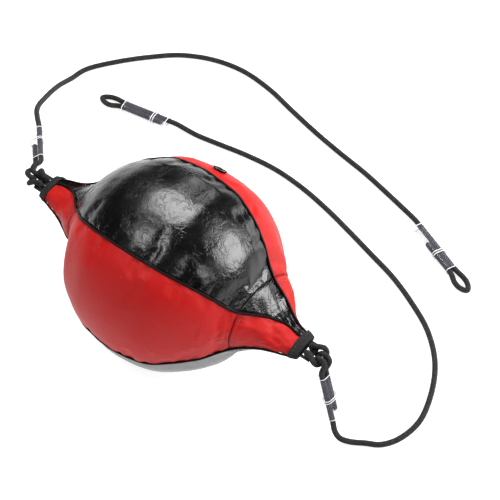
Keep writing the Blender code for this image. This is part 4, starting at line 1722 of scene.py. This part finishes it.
    def add_core(self, name: str, place: Array, direction: Array, diameter: float) -> Piece:
        """The bundle of rubber strands that shows where the cover is cut.

        Args:
            name: The piece's name.
            place: The middle of the cut end.
            direction: Outwards from it.
            diameter: The cord's diameter there.

        Returns:
            The piece.
        """
        out = Vector(direction).normalized()
        first = out.orthogonal().normalized()
        matrix = frame_matrix(first, out.cross(first), Vector(place))
        strand = diameter * 0.13
        across = diameter * 0.27
        ring = [(across * math.cos(t), across * math.sin(t)) for t in np.arange(6) * math.tau / 6]
        deselect_all()
        strands = []
        for i, (u, v) in enumerate([(0.0, 0.0), *ring]):
            stick_out = (1.5 + 0.35 * math.sin(2.4 * i)) * MM
            middle = (u, v, stick_out / 2)
            bpy.ops.mesh.primitive_cylinder_add(vertices=10, radius=strand, depth=stick_out, location=middle)
            start_edit()
            bevel_edges_above(0, strand * 0.3, 2)
            strands.append(end_edit())
        deselect_all()
        for piece in strands:
            piece.select_set(True)
        bpy.context.view_layer.objects.active = strands[0]
        bpy.ops.object.join()
        core = settle_in_place(bpy.context.object, name, matrix)
        return place_piece(core, self.materials["rubber"], self.route.end.body)

    def add_sleeves(self) -> list[Piece]:
        """The sleeve beside the ball and the one beside the eye, each with its band.

        Returns:
            The four pieces.
        """
        start, stop = self.sleeve_ends()
        side = self.side_of((stop - start).normalized())
        _, eye_side = self.eye_frame()
        at, to = Vector(self.route.eye_at), Vector(self.route.eye_to)
        label, body = self.route.end.label, self.route.end.body
        ball_sleeve = Sleeve(f"ball_{label}", body, start, stop, side, self.route.band, self)
        eye_sleeve = Sleeve(f"eye_{label}", body, at, to, eye_side, self.route.eye_band, self)
        return [*ball_sleeve.build(), *eye_sleeve.build()]


@dataclass
class Sleeve:
    """A clear sleeve over two cords side by side, and the band that grips it."""

    name: str
    body: str
    start: Vector
    stop: Vector
    side: Vector
    band_share: float
    cord: Cord
    room: float = 0.35 * MM
    wall: float = 0.7 * MM
    band_length: float = 3.5 * MM
    band_wall: float = 0.7 * MM
    lip: float = 0.35 * MM
    rim_width: float = 0.9 * MM

    def build(self) -> list[Piece]:
        """Makes the sleeve, its band and the four white rings on them, which are painted highlights of the glints on
        the plastic's edges.

        Returns:
            The pieces.
        """
        length = (self.stop - self.start).length
        grip = (self.band_length / 2 - 0.3 * MM) / length
        outer = self.room + self.wall
        rims = [
            self.add_rim("lip_start", 0.5 * MM / length, outer + self.lip),
            self.add_rim("lip_stop", 1 - 0.5 * MM / length, outer + self.lip),
            self.add_rim("glint_ridge_start", self.band_share - grip, outer + self.band_wall),
            self.add_rim("glint_ridge_stop", self.band_share + grip, outer + self.band_wall),
        ]
        return [self.add_sleeve(), self.add_band(), *rims]

    def add_rim(self, name: str, share: float, grow: float) -> Piece:
        """A thin white ring where the plastic ends or is pinched up: a painted highlight of the glint on that edge.

        Args:
            name: Which ring it is.
            share: Where it is along the sleeve.
            grow: The distance of the plastic's face from the cords.

        Returns:
            The piece.
        """
        half, top = self.rim_width / 2, grow + 0.22 * MM
        levels = [(-half, grow), (-half / 2, top), (half / 2, top), (half, grow)]
        obj = self.loft(levels, 0.3 * MM, 0.06 * MM)
        rim = settle_in_place(obj, f"{name}_{self.name}", self.matrix(share))
        # The white ring stands in for the glint on the clear plastic's edge: a painted highlight.
        return place_piece(rim, self.cord.materials["white_plastic"], self.body)

    def matrix(self, share: float) -> Matrix:
        """Places a piece that is built along Z, its wide way along X."""
        along = (self.stop - self.start).normalized()
        return frame_matrix(self.side, along.cross(self.side), self.start.lerp(self.stop, share))

    def loft(self, levels: Sequence[tuple[float, float]], wall: float, bevel: float) -> Piece:
        """Raises an outline through a list of levels and gives it a wall with round rims.

        Args:
            levels: Each level's height and its distance from the cords.
            wall: The wall, which goes inwards.
            bevel: The rims' rounding.

        Returns:
            The tube, in object mode.
        """
        (low, grow), radius, offset = levels[0], self.cord.diameter / 2, self.cord.pair_offset
        deselect_all()
        bpy.ops.mesh.primitive_circle_add(vertices=44, radius=radius + grow, location=(0, 0, 0))
        start_edit()
        for hand in (1, -1):
            select_in_edit("verts", lambda vertex, hand=hand: vertex.co.x * hand > 1e-6)
            bpy.ops.transform.translate(value=(hand * offset, 0, 0))
        bpy.ops.mesh.select_all(action="SELECT")
        bpy.ops.transform.translate(value=(0, 0, low))
        for (low, was), (high, grow) in zip(levels, levels[1:]):
            bpy.ops.mesh.extrude_edges_move(TRANSFORM_OT_translate={"value": (0, 0, high - low)})
            wide = (offset + radius + grow) / (offset + radius + was)
            bpy.ops.transform.resize(value=(wide, (radius + grow) / (radius + was), 1))
        bpy.ops.mesh.select_all(action="SELECT")
        bpy.ops.mesh.normals_make_consistent(inside=False)
        obj = end_edit()
        add_wall(obj, wall, -1)
        add_rounding(obj, bevel, 3, 50)
        apply_modifiers(obj)
        return obj

    def add_sleeve(self) -> Piece:
        """The clear sleeve, drawn in under its band and with a lip at each end."""
        length = (self.stop - self.start).length
        outer = self.room + self.wall
        half = length / 2
        band = (self.band_share - 0.5) * length
        reach = self.band_length / 2
        levels = [(-half, outer + self.lip), (-half + 0.9 * MM, outer + self.lip), (-half + 1.8 * MM, outer)]
        inner = [-half + 1.8 * MM + (length - 3.6 * MM) * i / 16 for i in range(1, 16)]
        inner = [z for z in inner if abs(z - band) > reach + 1.2 * MM]
        marks = [(z, outer + 0.10 * MM * math.sin(1.7 * i + 3 * self.band_share)) for i, z in enumerate(inner)]
        marks += [(band - reach - 0.8 * MM, outer), (band - reach, outer - 0.15 * MM)]
        marks += [(band + reach, outer - 0.15 * MM), (band + reach + 0.8 * MM, outer)]
        levels += sorted(marks)
        levels += [(half - 1.8 * MM, outer), (half - 0.9 * MM, outer + self.lip), (half, outer + self.lip)]
        obj = self.loft(levels, self.wall, 0.2 * MM)
        sleeve = settle_in_place(obj, f"clear_sleeve_{self.name}", self.matrix(0.5))
        sleeve.visible_shadow = False
        material = self.cord.materials["clear_plastic"]
        return place_piece(sleeve, material, self.body, [f"sleeve_{self.name}"])

    def add_band(self) -> Piece:
        """The band, with a ridge along each edge."""
        base = self.room + self.wall
        half = self.band_length / 2
        tall, flat = base + self.band_wall, base + 0.25 * MM
        levels = [(-half, tall), (-half + 0.9 * MM, tall), (-half + 1.2 * MM, flat)]
        levels += [(half - 1.2 * MM, flat), (half - 0.9 * MM, tall), (half, tall)]
        obj = self.loft(levels, self.band_wall, 0.15 * MM)
        band = settle_in_place(obj, f"grip_band_{self.name}", self.matrix(self.band_share))
        return place_piece(band, self.cord.materials["milky_plastic"], self.body, [f"band_{self.name}"])


@dataclass
class Stitching:
    """Rows of thread on the leather."""

    form: BallForm
    materials: dict[str, Material]
    length: float = 2.7 * MM
    gap: float = 0.9 * MM
    radius: float = 0.32 * MM
    rows: tuple[float, ...] = (2.4 * MM, 4.6 * MM)

    def build(self) -> None:
        """Makes the topstitching beside every cross seam, one piece for each neck piece."""
        for end in EndName:
            for gore in Gore:
                self.add_rows(end, gore)

    def add_rows(self, end: EndName, gore: Gore) -> None:
        """The rows on one neck piece.

        Args:
            end: The end of the ball.
            gore: The gore.
        """
        lines = []
        for row in self.rows:
            x = end.sign * (self.form.cross_seam + row)
            start, stop = (float(self.form.seam_angle(gore.index + k, np.array(x))) for k in (0, 1))
            angles = np.linspace(start, stop, 240)
            points = self.form.points(np.full_like(angles, x), angles, 0.0)
            travelled = travel(points)
            room = 3.2 * MM
            place = room
            while place + self.length < travelled[-1] - room:
                span = np.interp(np.linspace(place, place + self.length, 6), travelled, angles)
                lines.append((x, span))
                place += self.length + self.gap
        points, faces = [], []
        dip = np.array([-0.75, -0.20, -0.10, -0.10, -0.20, -0.75]) * MM
        for x, angles in lines:
            middle = self.form.points(np.full_like(angles, x), angles, dip)
            add_thread(points, faces, middle, self.radius * np.array([0.55, 1, 1, 1, 1, 0.55]))
        piece = mesh_piece(f"topstitch_{end.label}_{gore.label}", np.array(points), faces)
        leather = gore.leather.value
        place_piece(piece, self.materials[f"{leather}_thread"], "ball")


def add_thread(points: list, faces: list, line: Array, radius: Array, sides: int = 6) -> None:
    """Adds one short closed thread to lists of points and faces.

    Args:
        points: The points so far.
        faces: The faces so far.
        line: The thread's middle.
        radius: Its radius at each point.
        sides: Its sides.
    """
    tangents = np.gradient(line, axis=0)
    tangents /= np.linalg.norm(tangents, axis=1, keepdims=True)
    firsts, seconds = Tube.frames(tangents)
    base = len(points)
    turn = (math.tau * np.arange(sides) / sides)[:, None]
    spokes = firsts[:, None] * np.cos(turn) + seconds[:, None] * np.sin(turn)
    points.extend((line[:, None] + spokes * radius[:, None, None]).reshape(-1, 3))
    faces.extend(ring_faces(len(line), sides, base).tolist())
    last = base + (len(line) - 1) * sides
    faces.extend(([base + j for j in range(sides)][::-1], [last + j for j in range(sides)]))


@dataclass
class Mouth:
    """One mouth of the ball: the tape bound over its raw edge and the webbing loop in it."""

    end: EndName
    form: BallForm
    materials: dict[str, Material]
    bar: Vector
    binding_width: float = 8.0 * MM
    binding_thickness: float = 1.0 * MM
    overhang: float = 0.5 * MM
    webbing_thickness: float = 2.2 * MM
    webbing_width: float = 19.4 * MM
    webbing_edge: float = 2.6 * MM
    webbing_bar: float = 3.7 * MM
    shoulder: float = 1.0 * MM
    tail_room: float = 2.8 * MM
    tail_length: float = 5.0 * MM
    clearance: float = 0.3 * MM

    def build(self) -> None:
        """Makes the mouth's pieces."""
        self.add_binding()
        self.add_binding_stitches()
        self.add_webbing()

    def add_binding(self) -> None:
        """The tape, folded over the edge from outside to inside."""
        form, sign = self.form, self.end.sign
        half, columns = form.half_length, 96
        over = self.overhang + self.binding_thickness * 0.4
        outline = [
            (half - self.binding_width, 0.25), (half - self.binding_width + 0.4 * MM, 0.95),
            (half - self.binding_width * 0.6, 1.1), (half - self.binding_width * 0.3, 1.12),
            (half - 0.6 * MM, 1.05), (half + over * 0.7, 0.75), (half + over, 0.2),
            (half + over * 0.9, -0.9), (half + over * 0.5, -1.9), (half - 0.8 * MM, -2.25),
            (half - 3.5 * MM, -2.3), (half - 3.5 * MM, -1.6), (half - 1.0 * MM, -1.55),
            (half - 0.4 * MM, -1.0), (half - 0.4 * MM, -0.2), (half - 1.5 * MM, 0.05),
            (half - self.binding_width, 0.05),
        ]
        angles = np.linspace(0, math.tau, columns, endpoint=False)
        rings, travelled, place = [], [0.0], outline[-1]
        for x, lift in outline:
            ring = form.points(np.full(columns, sign * x), angles, lift * MM)
            flutter = 0.14 * MM * np.sin(5 * angles + 1.3 * sign) + 0.10 * MM * np.sin(11 * angles + x * 900)
            ring[:, 2] += flutter if lift > 0.5 else 0
            rings.append(ring)
            travelled.append(travelled[-1] + math.dist(place, (x, lift * MM)))
            place = (x, lift * MM)
        girth = float(travel(rings[2])[-1])
        faces = ring_faces(len(rings), columns, closed=True)
        maps = ring_maps(np.arange(columns + 1) * girth / columns, np.array(travelled)).reshape(-1, 4, 2)
        if sign > 0:
            faces, maps = faces[:, ::-1], maps[:, ::-1]
        name = f"binding_tape_{self.end.label}"
        binding = mesh_piece(name, np.concatenate(rings), faces, math.radians(60), maps)
        place_piece(binding, self.materials["binding_tape"], "ball", [f"binding_{self.end.label}"])

    def add_binding_stitches(self) -> None:
        """The row of stitches that holds the tape."""
        x = self.end.sign * (self.form.half_length - self.binding_width * 0.62)
        points, faces = [], []
        count = 24
        for i in range(count):
            angles = math.tau * (i + np.linspace(0.12, 0.88, 6)) / count
            lift = np.array([0.7, 1.25, 1.35, 1.35, 1.25, 0.7]) * MM
            line = self.form.points(np.full_like(angles, x), angles, lift)
            add_thread(points, faces, line, 0.3 * MM * np.array([0.6, 1, 1, 1, 1, 0.6]))
        piece = mesh_piece(f"binding_stitches_{self.end.label}", np.array(points), faces)
        place_piece(piece, self.materials["leather_black_thread"], "ball")

    def add_webbing(self) -> None:
        """The loop of webbing that the hitch turns round."""
        sign = self.end.sign
        mouth = self.form.half_length + self.overhang
        back = mouth - abs(self.bar.x)
        half, side = self.webbing_width / 2, self.webbing_width / 2 - self.webbing_edge
        shoulder = back + self.clearance
        slot_start = shoulder + self.shoulder
        bar = self.webbing_bar / 2
        low, high = back - self.tail_length, bar
        tail = self.form.mouth_half_width - self.form.wall - self.tail_room
        deselect_all()
        bpy.ops.mesh.primitive_grid_add(x_subdivisions=1, y_subdivisions=1, size=1)
        start_edit()
        bpy.ops.transform.resize(value=(high - low, 2 * half, 1))
        bpy.ops.transform.translate(value=((high + low) / 2, 0, 0))
        cuts = [((x, 0, 0), (1, 0, 0)) for x in (shoulder, slot_start, -bar)]
        cuts += [((0, y, 0), (0, 1, 0)) for y in (-side, side, -tail, tail)]
        for place, normal in cuts:
            bpy.ops.mesh.select_all(action="SELECT")
            bpy.ops.mesh.bisect(plane_co=place, plane_no=normal)

        def unwanted(face: bmesh.types.BMFace) -> bool:
            """Whether a face is in the slot or beside the tail."""
            middle = face.calc_center_median()
            in_slot = slot_start < middle.x < -bar and abs(middle.y) < side
            return in_slot or (middle.x < shoulder and abs(middle.y) > tail)

        select_in_edit("faces", unwanted)
        bpy.ops.mesh.delete(type="FACE")
        bpy.ops.mesh.select_all(action="SELECT")
        bpy.ops.mesh.subdivide(number_cuts=3)
        obj = end_edit()
        add_wall(obj, self.webbing_thickness, 0)
        add_rounding(obj, 0.7 * MM, 4, 60)
        apply_modifiers(obj)
        width, _ = self.form.axes
        place = frame_matrix(Vector((sign, 0, 0)), width, self.bar)
        webbing = settle_in_place(obj, f"webbing_{self.end.label}", place)
        node = f"webbing_loop_{self.end.label}"
        place_piece(webbing, self.materials["webbing"], "ball", [node])


@dataclass
class Valve:
    """The rubber bladder, its valve and the eyelet round it."""

    form: BallForm
    materials: dict[str, Material]
    radius: float = 2.2 * MM
    clearance: float = 0.5 * MM
    angle: float = math.radians(-44)
    place: float = 2.0 * MM
    length: float = 9.0 * MM
    gap: float = 0.3 * MM
    eyelet_radius: float = 5.0 * MM
    eyelet_thickness: float = 0.9 * MM
    bladder_half_length: float = 92.0 * MM
    bladder_slack: float = 6.5 * MM
    bladder_wall: float = 0.8 * MM

    @property
    def hole_radius(self) -> float:
        """The hole in the leather."""
        return self.radius + self.clearance

    def matrix(self, distance: float) -> Matrix:
        """Places a piece on the valve's axis.

        Args:
            distance: How far it is from the ball's long axis.

        Returns:
            The matrix.
        """
        outwards = Vector((0, -math.sin(self.angle), math.cos(self.angle)))
        across = Vector((1, 0, 0))
        centre = Vector((self.place, 0, self.form.height)) + outwards * distance
        return frame_matrix(across, outwards.cross(across), centre)

    def build(self) -> None:
        """Makes the three pieces."""
        self.add_bladder()
        self.add_valve()
        self.add_eyelet()

    def add_bladder(self) -> None:
        """The bladder: a ball drawn out along the long axis, with a soft moulded seam."""
        radius = self.form.radius - self.bladder_slack
        deselect_all()
        bpy.ops.mesh.primitive_uv_sphere_add(segments=64, ring_count=40, radius=radius)
        start_edit()
        bpy.ops.transform.resize(value=(1, 1, self.bladder_half_length / radius))
        select_in_edit("edges", lambda edge: all(abs(vertex.co.x) < 0.1 * MM for vertex in edge.verts))
        bpy.ops.mesh.bevel(offset=0.8 * MM, segments=2)
        select_in_edit("faces", lambda face: abs(face.calc_center_median().x) < 0.9 * MM)
        bpy.ops.transform.resize(value=(1, 1.004, 1.004))
        obj = end_edit()
        add_wall(obj, self.bladder_wall, -1)
        apply_modifiers(obj)
        turn = Matrix.Rotation(math.pi / 2, 4, "Y")
        bladder = settle_in_place(obj, "rubber_bladder", Matrix.Translation((0, 0, self.form.height)) @ turn)
        place_piece(bladder, self.materials["rubber"], "ball", ["bladder"])

    def add_valve(self) -> None:
        """The valve's stem, with the sunk hole for a needle."""
        deselect_all()
        bpy.ops.mesh.primitive_cylinder_add(vertices=40, radius=self.radius, depth=self.length)
        start_edit()
        top = self.length / 2 - 0.01 * MM
        select_in_edit("faces", lambda face: face.calc_center_median().z > top)
        bpy.ops.mesh.inset(thickness=0.9 * MM)
        bpy.ops.mesh.extrude_region_move(TRANSFORM_OT_translate={"value": (0, 0, -1.8 * MM)})
        bpy.ops.transform.resize(value=(0.5, 0.5, 1))
        bevel_edges_above(top, 0.25 * MM, 3)
        distance = self.form.radius + self.gap - self.length / 2
        valve = settle_in_place(end_edit(), "valve_stem", self.matrix(distance))
        place_piece(valve, self.materials["rubber"], "ball", ["valve"])

    def add_eyelet(self) -> None:
        """The domed washer pressed round the valve."""
        deselect_all()
        bpy.ops.mesh.primitive_cylinder_add(vertices=48, radius=self.eyelet_radius, depth=self.eyelet_thickness)
        start_edit()
        top = self.eyelet_thickness / 2 - 0.01 * MM
        select_in_edit("faces", lambda face: abs(face.calc_center_median().z) > top)
        bpy.ops.mesh.inset(thickness=self.eyelet_radius - self.hole_radius, use_individual=True)
        bpy.ops.mesh.bridge_edge_loops()
        bevel_edges_above(top, 0.35 * MM, 3)
        distance = self.form.radius + self.gap + self.eyelet_thickness / 2
        eyelet = settle_in_place(end_edit(), "eyelet_ring", self.matrix(distance))
        place_piece(eyelet, self.materials["black_nickel"], "ball", ["valve_eyelet"])


@dataclass(frozen=True)
class SoftLight:
    """A round or oblong area light that faces the ball."""

    name: str
    toward: Triple
    width: float
    height: float
    radiance: float
    distance: float = 1.5
    turn: float = 0.0

    def build(self, target: Vector) -> None:
        """Makes the light.

        Args:
            target: The point that it faces.
        """
        data = bpy.data.lights.new(self.name, "AREA")
        data.shape = "ELLIPSE"
        data.size, data.size_y = self.width, self.height
        area = math.pi * self.width * self.height / 4
        data.energy = self.radiance * math.pi * area
        light = bpy.data.objects.new(self.name, data)
        direction = Vector(self.toward).normalized()
        aim = direction.to_track_quat("Z", "Y").to_matrix().to_4x4()
        place = Matrix.Translation(target + direction * self.distance)
        light.matrix_world = place @ aim @ Matrix.Rotation(self.turn, 4, "Z")
        bpy.context.scene.collection.objects.link(light)


@dataclass
class Studio:
    """The camera, the lights, the world and the pale floor."""

    form: BallForm
    azimuth: float = math.radians(38.8)
    elevation: float = math.radians(49.6)
    distance: float = 1.74
    sideways: float = 74.4 * MM
    upwards: float = 13.4 * MM
    lens: float = 131.3
    lights: tuple[SoftLight, ...] = (
        SoftLight("soft_disc_behind", (-0.25, 0.33, 0.91), 0.92, 0.92, 13.0),
        SoftLight("soft_disc_right", (0.726, 0.493, 0.48), 0.90, 0.90, 13.5),
        SoftLight("strip_rear", (-0.30, 0.81, 0.50), 0.30, 0.7, 4.0, turn=0.5),
        SoftLight("strip_rear_right", (0.36, 0.93, 0.12), 0.5, 0.4, 4.5),
        SoftLight("patch_front_left", (-0.21, -0.44, 0.87), 0.6, 0.5, 11.0),
        SoftLight("strip_front_right", (0.79, -0.26, 0.55), 0.24, 0.6, 9.0, turn=0.4),
        SoftLight("front_fill", (-0.15, -0.95, 0.28), 1.4, 0.7, 0.8),
    )

    def build(self) -> None:
        """Sets everything up."""
        self.add_camera()
        self.add_floor()
        self.add_world()
        target = Vector((0, 0, self.form.height))
        for light in self.lights:
            light.build(target)
        bpy.context.scene.view_settings.view_transform = "Standard"

    def add_camera(self) -> None:
        """The camera, at its azimuth and elevation with no roll."""
        a, e = self.azimuth, self.elevation
        back = Vector((math.sin(a) * math.cos(e), -math.cos(a) * math.cos(e), math.sin(e)))
        right = Vector((math.cos(a), math.sin(a), 0))
        up = back.cross(right)
        target = Vector((0, 0, self.form.height)) + right * self.sideways + up * self.upwards
        data = bpy.data.cameras.new("camera")
        data.lens = self.lens
        data.sensor_width = 36
        data.clip_start, data.clip_end = 0.05, 50
        camera = bpy.data.objects.new("camera", data)
        camera.matrix_world = frame_matrix(right, up, target + back * self.distance)
        bpy.context.scene.collection.objects.link(camera)
        bpy.context.scene.camera = camera

    def add_floor(self) -> None:
        """The pale floor."""
        deselect_all()
        bpy.ops.mesh.primitive_plane_add(size=12)
        floor = bpy.context.object
        floor.name = floor.data.name = "pale_floor"
        skin = Surface("pale_floor")
        grey, white = (0.45, 0.45, 0.45, 1), (1, 1, 1, 1)
        skin.dress({"Base Color": grey, "Roughness": 0.9, "Specular IOR Level": 0.1})
        skin.dress({"Emission Color": white, "Emission Strength": 0.80})
        floor.data.materials.append(skin.material)

    @staticmethod
    def add_world() -> None:
        """Dim even light from all round."""
        world = bpy.data.worlds.new("studio")
        world.use_nodes = True
        background = world.node_tree.nodes["Background"]
        background.inputs["Color"].default_value = (1, 1, 1, 1)
        background.inputs["Strength"].default_value = 0.04
        bpy.context.scene.world = world


def main() -> None:
    """Builds the studio and the whole object."""
    logging.basicConfig(level=logging.INFO, format="%(name)s: %(message)s")
    form = BallForm()
    Studio(form).build()
    materials = make_materials()
    cords = [Cord(route, form, materials) for route in (NEAR_ROUTE, FAR_ROUTE)]
    for cord in cords:
        cord.build()
    LeatherBall(form, materials).build()
    Piping(form, materials).build()
    Stitching(form, materials).build()
    for cord in cords:
        Mouth(cord.route.end, form, materials, cord.bar).build()
    Valve(form, materials).build()


if __name__ == "__main__":
    main()
